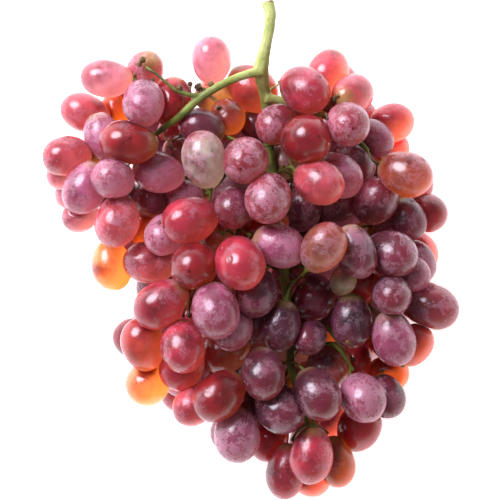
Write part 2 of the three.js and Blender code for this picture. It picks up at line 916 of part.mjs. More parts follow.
// A tube that tapers along its path: each point is [x, y, z, radius]
function taperedTube(points, sides) {
  const places = points.map(([x, y, z]) => new THREE.Vector3(x, y, z));
  const path = new THREE.CatmullRomCurve3(places, false, "centripetal");
  const steps = Math.max(2, Math.ceil(path.getLength() / tubeStep));
  const section = new THREE.Shape(
    Array.from({ length: sides }, (_, i) => {
      const turn = (i * 2 * Math.PI) / sides;
      return new THREE.Vector2(Math.cos(turn), Math.sin(turn));
    }),
  );
  const geometry = new THREE.ExtrudeGeometry(section, { steps, bevelEnabled: false, extrudePath: path });
  const centres = path.getSpacedPoints(steps);
  const position = geometry.attributes.position;
  const point = new THREE.Vector3();
  for (let i = 0; i < position.count; i++) {
    point.fromBufferAttribute(position, i);
    let nearest = 0;
    centres.forEach((centre, k) => {
      if (centre.distanceTo(point) < centres[nearest].distanceTo(point)) nearest = k;
    });
    const radius = radiusNear(points, centres[nearest]);
    point.sub(centres[nearest]).multiplyScalar(radius).add(centres[nearest]);
    position.setXYZ(i, point.x, point.y, point.z);
  }
  return solidFrom(welded(geometry));
}

// The radius between the two listed points that a place lies nearest to
function radiusNear(points, place) {
  let best = Infinity;
  let radius = points[0][3];
  for (let i = 1; i < points.length; i++) {
    const [x0, y0, z0, r0] = points[i - 1];
    const [x1, y1, z1, r1] = points[i];
    const start = new THREE.Vector3(x0, y0, z0);
    const along = new THREE.Vector3(x1, y1, z1).sub(start);
    const t = THREE.MathUtils.clamp(place.clone().sub(start).dot(along) / along.lengthSq(), 0, 1);
    const off = start.addScaledVector(along, t).distanceTo(place);
    if (off < best) {
      best = off;
      radius = r0 + (r1 - r0) * t;
    }
  }
  return radius;
}

function inBunch(points) {
  return points.map(([x, y, z, radius]) => [acrossAt(x), alongAt(y), z, radius]);
}

// Room between a place and the nearest berry, leaving out one berry
function roomAt(place, berries, except) {
  const reach = 26;
  let room = Infinity;
  for (const berry of berries) {
    if (berry === except) continue;
    if (Math.abs(berry.x - place.x) > reach || Math.abs(berry.y - place.y) > reach) continue;
    for (const own of berry.balls) {
      const dx = berry.x + own.dx - place.x;
      const dy = berry.y + own.dy - place.y;
      const dz = berry.z + own.dz - place.z;
      room = Math.min(room, Math.hypot(dx, dy, dz) - own.radius);
    }
  }
  return room;
}

// Pedicels: from each berry's stalk end the shortest clear bow to the stalks built so far
function growPedicels(berries, tree, isClear) {
  const needed = pedicelRadius + stalkGap + pedicelMargin;
  const waiting = new Set(berries);
  const grown = [];
  for (let round = 0; round < pedicelRounds && grown.length < pedicelMost; round++) {
    for (const berry of [...waiting]) {
      if (grown.length >= pedicelMost) break;
      const axis = new THREE.Vector3(...berry.axis);
      const centre = new THREE.Vector3(berry.x, berry.y, berry.z);
      const start = centre.clone().addScaledVector(axis, berry.halfLength + stalkGap);
      const bend = start.clone().addScaledVector(axis, pedicelBend);
      const targets = tree
        .filter((place) => place.distanceTo(bend) < pedicelLongest)
        .sort((a, b) => a.distanceTo(bend) - b.distanceTo(bend))
        .slice(0, pedicelTargets);
      for (const target of targets) {
        const bow = new THREE.QuadraticBezierCurve3(start, bend, target);
        const places = bow.getSpacedPoints(pedicelChecks);
        const clear = places.every(
          (place, i) => roomAt(place, berries, i < pedicelStart ? berry : null) > needed,
        );
        if (!clear || !isClear(pedicelSolid(places, stalkGap))) continue;
        grown.push(places);
        tree.push(...places.slice(pedicelStart, -1));
        waiting.delete(berry);
        break;
      }
    }
  }
  return grown;
}

function pedicelSolid(places, extra) {
  const radii = [receptacleRadius, pedicelRadius, pedicelRadius, pedicelRadius * pedicelFoot];
  const last = radii.length - 1;
  const points = radii.map((radius, i) => {
    const { x, y, z } = places[Math.round((i * (places.length - 1)) / last)];
    return [x, y, z, radius + extra];
  });
  return taperedTube(points, pedicelSides);
}

function stalkNode({ ripe, unripe }, berryMeshes) {
  const everyBerry = [...ripe, unripe];
  const lines = Object.values(stalks).map(inBunch);
  const solids = lines.map((points) => taperedTube(points, stalkSides));
  const tree = lines.flatMap((points) => {
    const places = points.map(([x, y, z]) => new THREE.Vector3(x, y, z));
    return new THREE.CatmullRomCurve3(places).getSpacedPoints(stalkChecks);
  });
  const bodies = berryMeshes.map((mesh) => solidFrom(welded(mesh.geometry)));
  const clear = (solid) => bodies.every((body) => body.intersect(solid).volume() === 0);
  const pedicels = growPedicels(everyBerry, tree, clear).map((places) => pedicelSolid(places, 0));
  return meshFrom("stem", joined([...solids, ...pedicels]), stalkColour, stalkRoughness);
}

const berries = placeBerries();
const berryMeshes = berryNodes(berries);
const group = new THREE.Group();
group.add(...berryMeshes, stalkNode(berries, berryMeshes));
for (const mesh of group.children) mesh.position.set(originX, originY, 0);

export default group;
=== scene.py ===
# A bunch of red table grapes lying with its front up, seen from straight above.
import math
import random

import bmesh
import bpy
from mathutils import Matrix, Quaternion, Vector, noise
from mathutils.bvhtree import BVHTree


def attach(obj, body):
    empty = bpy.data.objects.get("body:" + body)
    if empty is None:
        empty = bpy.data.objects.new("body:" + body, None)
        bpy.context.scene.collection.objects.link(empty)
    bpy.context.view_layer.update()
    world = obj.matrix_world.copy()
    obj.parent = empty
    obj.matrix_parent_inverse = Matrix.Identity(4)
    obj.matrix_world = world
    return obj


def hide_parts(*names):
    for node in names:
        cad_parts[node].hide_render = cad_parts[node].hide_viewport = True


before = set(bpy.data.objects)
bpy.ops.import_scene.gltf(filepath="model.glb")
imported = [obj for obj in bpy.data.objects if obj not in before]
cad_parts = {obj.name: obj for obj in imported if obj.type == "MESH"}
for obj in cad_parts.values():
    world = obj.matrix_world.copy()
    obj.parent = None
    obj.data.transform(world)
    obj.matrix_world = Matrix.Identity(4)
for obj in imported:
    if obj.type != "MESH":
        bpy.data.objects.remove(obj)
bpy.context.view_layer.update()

mm = 0.001

# The part's own sizes, in mm, and places in picture pixels
bunch = {
    "width": 188.0,
    "widthInPicture": 418.0,
    "pictureCentre": (250.0, 250.0),
    "originShift": (-0.6, 0.1),
    "lengthToWidth": 1.3,
    "taper": 0.08,
    "squeeze": 1.6,
    "leastPress": 1.2,
    "stalkGap": 0.35,
    "stalkStep": 2.5,
    "stalkDent": 2.5,
    "stalkClimb": 14.0,     # how far up the main stalk a berry points
    "tableSink": 1.3,
    "endBalls": (0.88, 0.8),    # radii of the end balls, as shares of the middle one
    "nearby": 28.0,
}
scale = bunch["width"] / bunch["widthInPicture"]

# Rounded lobes of the dome: x, y, half width, half length in the picture, and a height in mm
dome = {
    "foot": 12.0,
    "lobes": [
        (172, 160, 138, 140, 76),
        (335, 185, 125, 160, 80),
        (262, 195, 115, 125, 84),
        (262, 290, 175, 190, 88),
        (275, 390, 150, 120, 74),
        (345, 285, 122, 120, 76),
    ],
    "widest": 46.0,
    "undersideStart": 36.0,
    "undersideSlope": 1.35,
}

# Stalks: x, y in the picture, then height and radius in mm
stalkLines = {
    "main": [
        (267.5, 3, 54, 3.1), (270.5, 14, 55, 2.8), (269, 32, 55, 2.5), (265.5, 48, 54, 2.6),
        (261, 70, 51, 3.8), (264, 88, 45, 3), (267, 104, 40, 2.8), (269, 150, 35, 2.8),
        (275, 200, 35, 2.7), (283, 260, 37, 2.5), (288, 310, 39, 2.3), (291, 365, 40, 2.0),
        (300, 400, 38, 1.7),
        (308, 425, 36, 1.3),
    ],
    "leftArm": [
        (262, 72, 52, 2.6), (247, 75, 54, 2.1), (227, 83, 56, 1.9), (200, 99, 57, 2.1),
        (179, 118, 55, 1.8), (160, 131, 51, 1.5), (140, 150, 46, 1.3),
    ],
    "upperTwig": [
        (202, 97, 57, 1.5), (190, 96, 58, 1.1), (179, 93, 58, 1.1), (172, 88, 58, 0.9),
        (157, 75, 56, 0.8), (146, 68, 54, 0.9),
    ],
    "rightArm": [
        (265, 98, 45, 2.6), (280, 100, 43, 2.0), (308, 108, 41, 1.7), (340, 124, 40, 1.5),
        (368, 150, 40, 1.2),
    ],
    "lowerLateral": [
        (290, 345, 39, 1.5), (308, 352, 39, 1.2), (325, 343, 41, 1.1), (336, 346, 42, 1.1),
        (354, 371, 40, 0.9),
    ],
}

# Berries measured in the picture, front ones first: x, y, length, width, angle of the long axis and
# tone, then "end" where the angle points at the stalk, or "up" where the stalk end leans to the viewer
frontBerries = [
    (302, 137, 52, 49, 10, "crimson"), (211, 59, 49, 40, 270, "pink", "end"),
    (107, 78, 54, 38, 355, "pink", "end"), (142, 103, 49, 42, 88, "dusty rose", "end"),
    (132, 140, 60, 44, -8, "crimson"), (65, 154, 50, 40, 12, "rose"),
    (115, 176, 44, 41, -20, "dusty rose"), (159, 172, 53, 42, -12, "dusty rose"),
    (203, 161, 59, 44, 280, "olive", "end"), (246, 159, 48, 46, 60, "bloomed red"),
    (118, 221, 55, 44, 75, "rose"), (189, 218, 58, 47, 15, "red", "end"),
    (349, 124, 45, 44, -50, "bloomed red"), (304, 89, 54, 46, -35, "red"),
    (404, 174, 57, 45, -20, "orange rose"), (318, 185, 53, 44, -25, "rose"),
    (270, 200, 52, 46, 80, "bloomed red"), (376, 202, 51, 44, 55, "plum"),
    (242, 262, 55, 50, 110, "red"), (194, 264, 48, 47, 50, "crimson"),
    (160, 304, 60, 46, 35, "red"), (217, 311, 58, 47, 105, "mauve"),
    (184, 346, 54, 44, 100, "red"), (263, 372, 54, 43, 95, "plum"),
    (220, 394, 58, 46, 45, "crimson"), (317, 392, 56, 45, 120, "plum"),
    (310, 454, 59, 44, 85, "red", "end"), (322, 248, 54, 43, 235, "olive rose", "end"),
    (389, 294, 42, 39, -60, "plum"), (392, 340, 58, 43, 105, "mauve"),
    (351, 320, 56, 41, 90, "dark plum"), (281, 325, 53, 40, 80, "dark plum", "end"),
    (362, 397, 52, 45, 120, "mauve"), (355, 251, 57, 40, 110, "plum"),
    (390, 251, 54, 46, -20, "plum"),
]
secondBerries = [
    (145, 69, 42, 37, 60, "rose", "up"), (171, 101, 51, 40, 75, "dark red"),
    (102, 135, 50, 38, 105, "dusty rose"), (84, 111, 53, 38, -20, "rose"),
    (86, 188, 56, 42, 65, "dusty rose"), (204, 128, 49, 37, -20, "plum"),
    (184, 195, 40, 32, 0, "mauve"), (236, 206, 45, 39, 70, "plum"),
    (164, 234, 44, 38, 60, "dusty rose"), (352, 94, 44, 40, 210, "rose", "up"),
    (276, 121, 45, 38, 60, "bloomed red"), (338, 175, 52, 42, -40, "dusty rose"),
    (356, 159, 50, 42, -60, "plum"), (374, 139, 42, 34, -50, "mauve"),
    (391, 123, 52, 39, 15, "bright red"), (408, 218, 47, 36, 120, "plum"),
    (150, 263, 56, 41, -5, "rose"), (279, 245, 56, 42, -20, "mauve"),
    (410, 272, 42, 36, -30, "mauve"), (432, 305, 58, 44, -15, "bloomed red"),
    (141, 345, 55, 43, 105, "orange red"), (184, 361, 56, 45, 75, "red"),
    (232, 329, 46, 38, 60, "mauve"), (258, 291, 50, 42, 70, "dark plum"),
    (195, 406, 47, 38, 50, "rose"), (237, 433, 58, 45, 95, "mauve"),
    (279, 407, 54, 47, 130, "dark plum"), (287, 471, 58, 40, 80, "red"),
    (335, 463, 54, 38, 105, "orange rose"), (361, 429, 52, 43, 60, "dark red"),
    (388, 395, 46, 38, 110, "plum"), (415, 348, 46, 36, 60, "orange red"),
    (310, 337, 36, 33, 50, "dark plum"), (227, 115, 38, 34, 120, "orange rose"),
]
thirdBerries = [
    (330, 70, 50, 40, 70, "bright red"), (429, 212, 40, 36, -45, "red"),
    (300, 212, 48, 40, 60, "dark plum"), (283, 160, 42, 36, 0, "pale grey"),
    (314, 297, 46, 42, 70, "dark plum"), (418, 262, 46, 36, 110, "mauve"),
    (389, 223, 30, 28, 0, "mauve"), (252, 86, 57, 44, -40, "orange red"),
    (214, 94, 40, 34, 0, "salmon"), (255, 124, 32, 30, 90, "dark plum"),
    (234, 142, 36, 30, 0, "dusty rose"), (114, 106, 38, 30, 90, "backlit amber"),
    (111, 265, 53, 38, 100, "backlit yellow amber"), (146, 383, 48, 41, 60, "backlit yellow amber"),
    (226, 352, 52, 42, 20, "brown"), (188, 377, 50, 38, 20, "mauve"),
    (270, 441, 46, 36, 60, "dark red"), (329, 366, 50, 42, 60, "brown"),
    (80, 214, 38, 32, 30, "pink"), (62, 174, 34, 28, 0, "pink"),
    (67, 191, 34, 28, 100, "pink"), (117, 247, 44, 36, 60, "dusty rose"),
    (150, 198, 36, 34, 60, "dark plum"), (146, 226, 44, 34, 90, "backlit amber"),
    (177, 150, 34, 30, 90, "brown"), (340, 205, 38, 32, 30, "dark plum"),
    (189, 292, 44, 36, 0, "brown"), (308, 229, 40, 34, 20, "dark plum"),
    (218, 277, 40, 34, 30, "brown"),
]
deepBerries = [
    (424, 253, 42, 34, 100, "bright red"), (243, 103, 40, 34, 0, "orange"),
    (175, 131, 38, 32, 0, "dark red"), (94, 154, 40, 34, 0, "salmon"),
    (133, 241, 40, 34, 60, "rose"), (320, 215, 40, 34, 60, "dark plum"),
    (344, 217, 42, 34, 0, "brown"), (326, 150, 42, 36, 0, "mauve"),
    (389, 148, 42, 34, 0, "bright red"), (218, 232, 42, 36, 0, "brown"),
    (240, 232, 42, 36, 90, "brown"), (389, 376, 44, 36, 0, "backlit amber"),
    (356, 361, 42, 34, 90, "dark red"), (254, 319, 42, 36, 90, "dark plum"),
    (336, 422, 38, 32, 90, "bright red"), (326, 426, 38, 32, 0, "bright red"),
    (310, 482, 38, 32, 0, "bright red"), (362, 344, 38, 32, 0, "dark red"),
    (362, 285, 38, 34, 0, "dark red"), (330, 313, 40, 34, 90, "dark plum"),
    (291, 188, 40, 34, 0, "dark plum"), (374, 168, 38, 32, 60, "dark plum"),
    (250, 408, 42, 36, 60, "dark plum"), (214, 372, 40, 34, 0, "dark plum"),
    (258, 142, 34, 30, 0, "dark plum"),
]
unripeBerry = (342, 281, 30, 27, 70, "green")

# A seeded draw places the berries that the picture hides
hidden = {
    "seed": 20,
    "most": 58,
    "tries": 70,
    "widthLeast": 16.5,
    "widthMost": 20.0,
    "lengthToWidth": 1.15,  # of the field that the draw covers
    "tiltMiddle": 0.3,
    "tiltRange": 1.2,
    "cover": 5.0,
    "reach": 1.25,
    "rimPoints": 6,
    "thinnestStack": 24.0,
    "lightGaps": [(202, 110), (101, 96), (287, 371), (364, 359), (332, 433)],
    "lowHeight": 28.0,
    "lowTones": ["rose", "red", "dusty rose", "mauve", "plum", "orange rose", "crimson"],
    "innerTones": ["dark plum", "dark red", "plum", "brown"],
}

# Skin colour, then how much bloom lies on it, 0 to 1, and the strength of its painted glow, which stands
# in for light coming through it, 0 to 2
tones = {
    "pink": ("#EE98A6", 0.4, 0.8),
    "rose": ("#D25862", 0.45, 0.45),
    "dusty rose": ("#A65A7C", 0.64, 0.42),
    "red": ("#AE283E", 0.35, 0.38),
    "bloomed red": ("#80202E", 0.62, 0.28),
    "crimson": ("#860E14", 0.16, 0.25),
    "dark red": ("#C81E2C", 0.15, 0.15),
    "bright red": ("#F4606E", 0.1, 1.2),
    "mauve": ("#964468", 0.7, 0.24),
    "plum": ("#541430", 0.5, 0.18),
    "dark plum": ("#3F1B3B", 0.4, 0.06),
    "orange rose": ("#A0441C", 0.35, 0.7),
    "orange red": ("#B84038", 0.2, 0.7),
    "orange": ("#C24221", 0.1, 0.9),
    # painted backlight: these amber skin colours and strong painted glows stand in for light shining
    # through the berries from behind
    "backlit amber": ("#EE5A12", 0.1, 1.1),
    "backlit yellow amber": ("#F6A25C", 0.12, 1.7),
    "pale grey": ("#8D8060", 0.5, 0.2),
    "salmon": ("#DCA050", 0.3, 0.6),
    "brown": ("#954634", 0.35, 0.2),
    "olive": ("#B9B6A4", 0.65, 0.35),
    "olive rose": ("#7C4626", 0.5, 0.5),
    "green": ("#8F976F", 0.4, 0.2),
}

# Round berries with an egg's taper, pressed where they meet
grape = {
    "sides": 32,
    "rings": 20,
    "edgeSoftness": 0.45,   # mm, how gently a pressed place rounds off
    "contactGap": 0.05,     # mm left between two pressed skins
    "wobble": 0.012,        # how far a berry strays from a true egg
    "dimpleDepth": 0.5,     # mm, where the stalk enters
    # inner skins bulge into the spaces between their neighbours
    "swellSecond": 1.015,
    "swellDeep": 1.06,
    "nearEnough": 60.0,     # mm, farther berries can't press
    "stalkNear": 22.0,
    "touchGap": 0.6,        # mm, closer neighbours press
    "stalkRoom": 0.2,       # mm left between a skin and a stalk
    "seedRange": 80,
    "colourRange": (0.85, 1.15),
    "bloomRange": (-0.12, 0.12),
    "dimpleFrom": 0.93,     # share of the half length
}


def acrossAt(pixelX):
    return (pixelX - bunch["pictureCentre"][0]) * scale


def alongAt(pixelY):
    return (bunch["pictureCentre"][1] - pixelY) * scale


def seededDraw(seed):
    state = [seed]

    def draw():
        state[0] = (state[0] * 16807) % 2147483647
        return state[0] / 2147483647
    return draw


def domeAt(x, y):
    height = 0.0
    for lobeX, lobeY, halfWidth, halfLength, top in dome["lobes"]:
        dx = (x - acrossAt(lobeX)) / (halfWidth * scale)
        dy = (y - alongAt(lobeY)) / (halfLength * scale)
        inside = 1 - dx * dx - dy * dy
        if inside > 0:
            height = max(height, dome["foot"] + (top - dome["foot"]) * math.sqrt(inside))
    return max(height, dome["foot"])


def undersideAt(x, y):
    return max(0.0, dome["undersideStart"] - (domeAt(x, y) - dome["widest"]) * dome["undersideSlope"])


mainLine = [(acrossAt(x), alongAt(y), z) for x, y, z, radius in stalkLines["main"]]


def angleToStalk(x, y):
    target = y + bunch["stalkClimb"]
    nearest = min(mainLine, key=lambda point: math.hypot(point[0] - x, point[1] - target))
    return math.atan2(nearest[1] - y, nearest[0] - x)


class Berry:
    # Three balls along the axis stand for the berry while it is placed
    def __init__(self, x, y, halfWidth, halfLength, angle, tilt):
        self.x, self.y, self.z = x, y, 0.0
        self.homeX, self.homeY, self.pinned = x, y, True
        self.halfWidth, self.halfLength = halfWidth, halfLength
        self.axis = (math.cos(angle) * math.cos(tilt), math.sin(angle) * math.cos(tilt), math.sin(tilt))
        tipShare, stalkShare = bunch["endBalls"]
        radii = (tipShare * halfWidth, halfWidth, stalkShare * halfWidth)
        places = (radii[0] - halfLength, 0.0, halfLength - radii[2])
        self.balls = [(self.axis[0] * t, self.axis[1] * t, self.axis[2] * t, radius)
                      for t, radius in zip(places, radii)]
        flat = math.hypot(self.axis[0], self.axis[1])
        self.halfHeight = math.hypot(halfLength * self.axis[2], halfWidth * flat)
        self.tone = "rose"
        self.swell = 1.0
        self.shownEnd = False


def measuredBerry(row):
    pixelX, pixelY, long, wide, degrees, tone, *notes = row
    note = notes[0] if notes else ""
    x, y = acrossAt(pixelX), alongAt(pixelY)
    width, seen = wide * scale, long * scale
    length = max(seen, width * bunch["lengthToWidth"])
    angle = math.radians(degrees)
    if not note and math.cos(angle - angleToStalk(x, y)) < 0:
        angle += math.pi
    shortening = (length * length - seen * seen) / (length * length - width * width)
    lean = math.asin(math.sqrt(min(1.0, max(0.0, shortening))))
    berry = Berry(x, y, width / 2, length / 2, angle, lean if note == "up" else -lean)
    berry.tone = tone
    berry.shownEnd = note == "end"
    return berry


def highestBehind(berry, placed):
    height = domeAt(berry.x, berry.y) - berry.halfHeight
    for ballX, ballY, ballZ, radius, gap in placed:
        for dx, dy, dz, own in berry.balls:
            reach = radius + own + gap
            apart = math.hypot(berry.x + dx - ballX, berry.y + dy - ballY)
            if apart < reach:
                height = min(height, ballZ - math.sqrt(reach * reach - apart * apart) - dz)
    return max(height, berry.halfHeight)


def lowestFree(berry, placed, start):
    blocked = []
    for ballX, ballY, ballZ, radius, gap in placed:
        if max(abs(ballX - berry.x), abs(ballY - berry.y)) > bunch["nearby"]:
            continue
        for dx, dy, dz, own in berry.balls:
            reach = radius + own + gap
            apart = math.hypot(berry.x + dx - ballX, berry.y + dy - ballY)
            if apart < reach:
                half = math.sqrt(reach * reach - apart * apart)
                blocked.append((ballZ - half - dz, ballZ + half - dz))
    blocked.sort(key=lambda span: span[0])
    height = start
    for low, high in blocked:
        if low < height < high:
            height = high
    return height


def ballsOf(berry):
    return [(berry.x + dx, berry.y + dy, berry.z + dz, radius, -bunch["squeeze"])
            for dx, dy, dz, radius in berry.balls]


def stalkBalls(points):
    balls = []
    for (x0, y0, z0, r0), (x1, y1, z1, r1) in zip(points, points[1:]):
        length = math.hypot((x1 - x0) * scale, (y1 - y0) * scale, z1 - z0)
        steps = math.ceil(length / bunch["stalkStep"])
        for k in range(steps):
            t = k / steps
            balls.append((acrossAt(x0 + (x1 - x0) * t), alongAt(y0 + (y1 - y0) * t),
                          z0 + (z1 - z0) * t, r0 + (r1 - r0) * t, 2 * bunch["stalkGap"]))
    return balls


def coveredByBerries(x, y, berries):
    return any(math.hypot(berry.x + dx - x, berry.y + dy - y) < radius * hidden["reach"]
               for berry in berries for dx, dy, dz, radius in berry.balls)


def isHidden(berry, berries):
    for x, y in hidden["lightGaps"]:
        if math.hypot(berry.x - acrossAt(x), berry.y - alongAt(y)) <= berry.halfLength + 1:
            return False
    for i in range(hidden["rimPoints"]):
        turn = i * 2 * math.pi / hidden["rimPoints"]
        x = berry.x + berry.halfWidth * math.cos(turn)
        y = berry.y + berry.halfWidth * math.sin(turn)
        if not coveredByBerries(x, y, berries):
            return False
    return True


def addHiddenBerries(berries, placed):
    draw = seededDraw(hidden["seed"])
    measured = list(berries)
    for count in range(hidden["most"]):
        best, bestRise = None, math.inf
        for i in range(hidden["tries"]):
            x = (draw() - 0.5) * bunch["width"]
            y = (draw() - 0.5) * bunch["width"] * hidden["lengthToWidth"]
            width = hidden["widthLeast"] + (hidden["widthMost"] - hidden["widthLeast"]) * draw()
            turn = (draw() - 0.5) * 2
            tilt = (draw() - hidden["tiltMiddle"]) * hidden["tiltRange"]
            low, high = undersideAt(x, y), domeAt(x, y)
            if high - low < hidden["thinnestStack"]:
                continue
            berry = Berry(x, y, width / 2, width * bunch["lengthToWidth"] / 2,
                          angleToStalk(x, y) + turn, tilt)
            berry.z = lowestFree(berry, placed, low + berry.halfHeight - bunch["tableSink"])
            rise = berry.z - low
            if berry.z + berry.halfHeight > high - hidden["cover"] or rise >= bestRise:
                continue
            if not isHidden(berry, measured):
                continue
            best, bestRise = berry, rise
        if not best:
            continue
        best.pinned = False
        best.swell = grape["swellDeep"]
        kinds = hidden["lowTones"] if best.z < hidden["lowHeight"] else hidden["innerTones"]
        best.tone = kinds[len(berries) % len(kinds)]
        berries.append(best)
        placed.extend(ballsOf(best))


def closestBalls(a, b):
    found = None
    for pX, pY, pZ, pRadius in a.balls:
        for qX, qY, qZ, qRadius in b.balls:
            dx = b.x + qX - a.x - pX
            dy = b.y + qY - a.y - pY
            dz = b.z + qZ - a.z - pZ
            apart = math.sqrt(dx * dx + dy * dy + dz * dz)
            gap = apart - pRadius - qRadius
            if found is None or gap < found[0]:
                found = (gap, (dx / apart, dy / apart, dz / apart), (pX, pY, pZ, pRadius))
    return found


# Berries push each other apart and draw together, in mm
settling = {
    "rounds": 90,
    "reach": 34.0,
    "pull": 0.12,
    "pullRange": 2.2,
    "mostDrift": 1.1,
    "pinnedShare": 0.35,    # how much of a sideways push a measured berry takes
    "sinkSteps": 120,
    "sinkStep": 0.25,
    "gatherRounds": 30,
}


def moveBerry(berry, normal, amount):
    sideways = settling["pinnedShare"] if berry.pinned else 1.0
    berry.x += normal[0] * amount * sideways
    berry.y += normal[1] * amount * sideways
    berry.z += normal[2] * amount


def settle(berries, stalkRow):
    reach, mostDrift = settling["reach"], settling["mostDrift"]
    for round in range(settling["rounds"]):
        for i, a in enumerate(berries):
            for b in berries[i + 1:]:
                if abs(a.x - b.x) > reach or abs(a.y - b.y) > reach or abs(a.z - b.z) > reach:
                    continue
                gap, normal, own = closestBalls(a, b)
                excess = gap + bunch["squeeze"]
                if excess > settling["pullRange"]:
                    continue
                step = excess / 2 if excess < 0 else excess * settling["pull"] / 2
                moveBerry(a, normal, step)
                moveBerry(b, normal, -step)
            for ballX, ballY, ballZ, radius, gap in stalkRow:
                if abs(a.x - ballX) > reach or abs(a.y - ballY) > reach:
                    continue
                for ownX, ownY, ownZ, own in a.balls:
                    dx = a.x + ownX - ballX
                    dy = a.y + ownY - ballY
                    dz = a.z + ownZ - ballZ
                    apart = math.sqrt(dx * dx + dy * dy + dz * dz)
                    overlap = radius + own + gap - apart
                    if overlap > 0:
                        moveBerry(a, (dx / apart, dy / apart, dz / apart), overlap)
            a.z = max(a.z, a.halfHeight - bunch["tableSink"])
            if a.pinned:
                a.x = min(a.homeX + mostDrift, max(a.homeX - mostDrift, a.x))
                a.y = min(a.homeY + mostDrift, max(a.homeY - mostDrift, a.y))


def groupsOf(berries):
    touching = [[] for berry in berries]
    for i, a in enumerate(berries):
        for j in range(i + 1, len(berries)):
            if closestBalls(a, berries[j])[0] < -bunch["leastPress"]:
                touching[i].append(j)
                touching[j].append(i)
    groups, seen = [], set()
    for i in range(len(berries)):
        if i in seen:
            continue
        group = [i]
        for member in group:
            group.extend(j for j in touching[member] if j not in group)
        seen.update(group)
        groups.append(group)
    return groups


def restsOnStalk(berry, stalkRow):
    for ballX, ballY, ballZ, radius, spare in stalkRow:
        for dx, dy, dz, own in berry.balls:
            x, y, z = berry.x + dx - ballX, berry.y + dy - ballY, berry.z + dz - ballZ
            if math.sqrt(x * x + y * y + z * z) < radius + own - bunch["stalkDent"]:
                return True
    return False


def sinkOnto(loose, rest, stalkRow):
    heights = [berry.z for berry in loose]
    for count in range(settling["sinkSteps"]):
        for berry in loose:
            berry.z -= settling["sinkStep"]
        if any(restsOnStalk(berry, stalkRow) or berry.z < berry.halfHeight - bunch["tableSink"]
               for berry in loose):
            break
        if min(closestBalls(a, b)[0] for a in loose for b in rest) < -bunch["squeeze"]:
            return True
    for berry, height in zip(loose, heights):
        berry.z = height
    return False


def gatherLoose(berries, stalkRow):
    for round in range(settling["gatherRounds"]):
        groups = groupsOf(berries)
        if len(groups) == 1:
            return
        groups.sort(key=len)
        loose = [berries[i] for i in groups[0]]
        rest = [berry for berry in berries if berry not in loose]
        if sinkOnto(loose, rest, stalkRow):
            continue
        near = min((closestBalls(a, b) for a in loose for b in rest), key=lambda found: found[0])
        amount = near[0] + bunch["squeeze"]
        for berry in loose:
            berry.x += near[1][0] * amount
            berry.y += near[1][1] * amount
            berry.z += near[1][2] * amount


def placeBerries():
    berries, placed = [], []

    def place(row):
        berry = measuredBerry(row)
        berry.z = highestBehind(berry, placed)
        berries.append(berry)
        placed.extend(ballsOf(berry))
        return berry
    for row in frontBerries:
        place(row)
    stalkRow = [ball for points in stalkLines.values() for ball in stalkBalls(points)]
    placed.extend(stalkBalls(stalkLines["leftArm"]) + stalkBalls(stalkLines["upperTwig"]))
    for row in secondBerries:
        place(row).swell = grape["swellSecond"]
    unripe = place(unripeBerry)
    placed.extend(stalkRow)
    for row in thirdBerries + deepBerries:
        place(row).swell = grape["swellDeep"]
    addHiddenBerries(berries, placed)
    settle(berries, stalkRow)
    ripe = [berry for berry in berries if berry is not unripe]
    gatherLoose(ripe, stalkRow)
    return ripe, unripe, stalkRow


print("placing berries")
ripe, unripe, stalkRow = placeBerries()
everyBerry = ripe + [unripe]
print("berries placed:", len(everyBerry))


def linear(colour):
    # "#RRGGBB" in sRGB to a linear colour
    parts = [int(colour[i:i + 2], 16) / 255 for i in (1, 3, 5)]
    return [c / 12.92 if c <= 0.04045 else ((c + 0.055) / 1.055) ** 2.4 for c in parts] + [1.0]


def addNode(tree, kind, inputs=(), **settings):
    # one node: each input is a plain value, another node or one of its outputs
    node = tree.nodes.new("ShaderNode" + kind)
    for name, value in settings.items():
        setattr(node, name, value)
    for key, value in inputs.items() if isinstance(inputs, dict) else enumerate(inputs):
        if isinstance(value, bpy.types.Node):
            value = value.outputs[0]
        if isinstance(value, bpy.types.NodeSocket):
            tree.links.new(value, node.inputs[key])
        else:
            node.inputs[key].default_value = value
    return node


def newMaterial(name):
    material = bpy.data.materials.new(name)
    material.use_nodes = True
    material.node_tree.nodes.clear()
    return material, material.node_tree


def finishMaterial(tree, inputs):
    shader = addNode(tree, "BsdfPrincipled", inputs)
    addNode(tree, "OutputMaterial", {"Surface": shader})
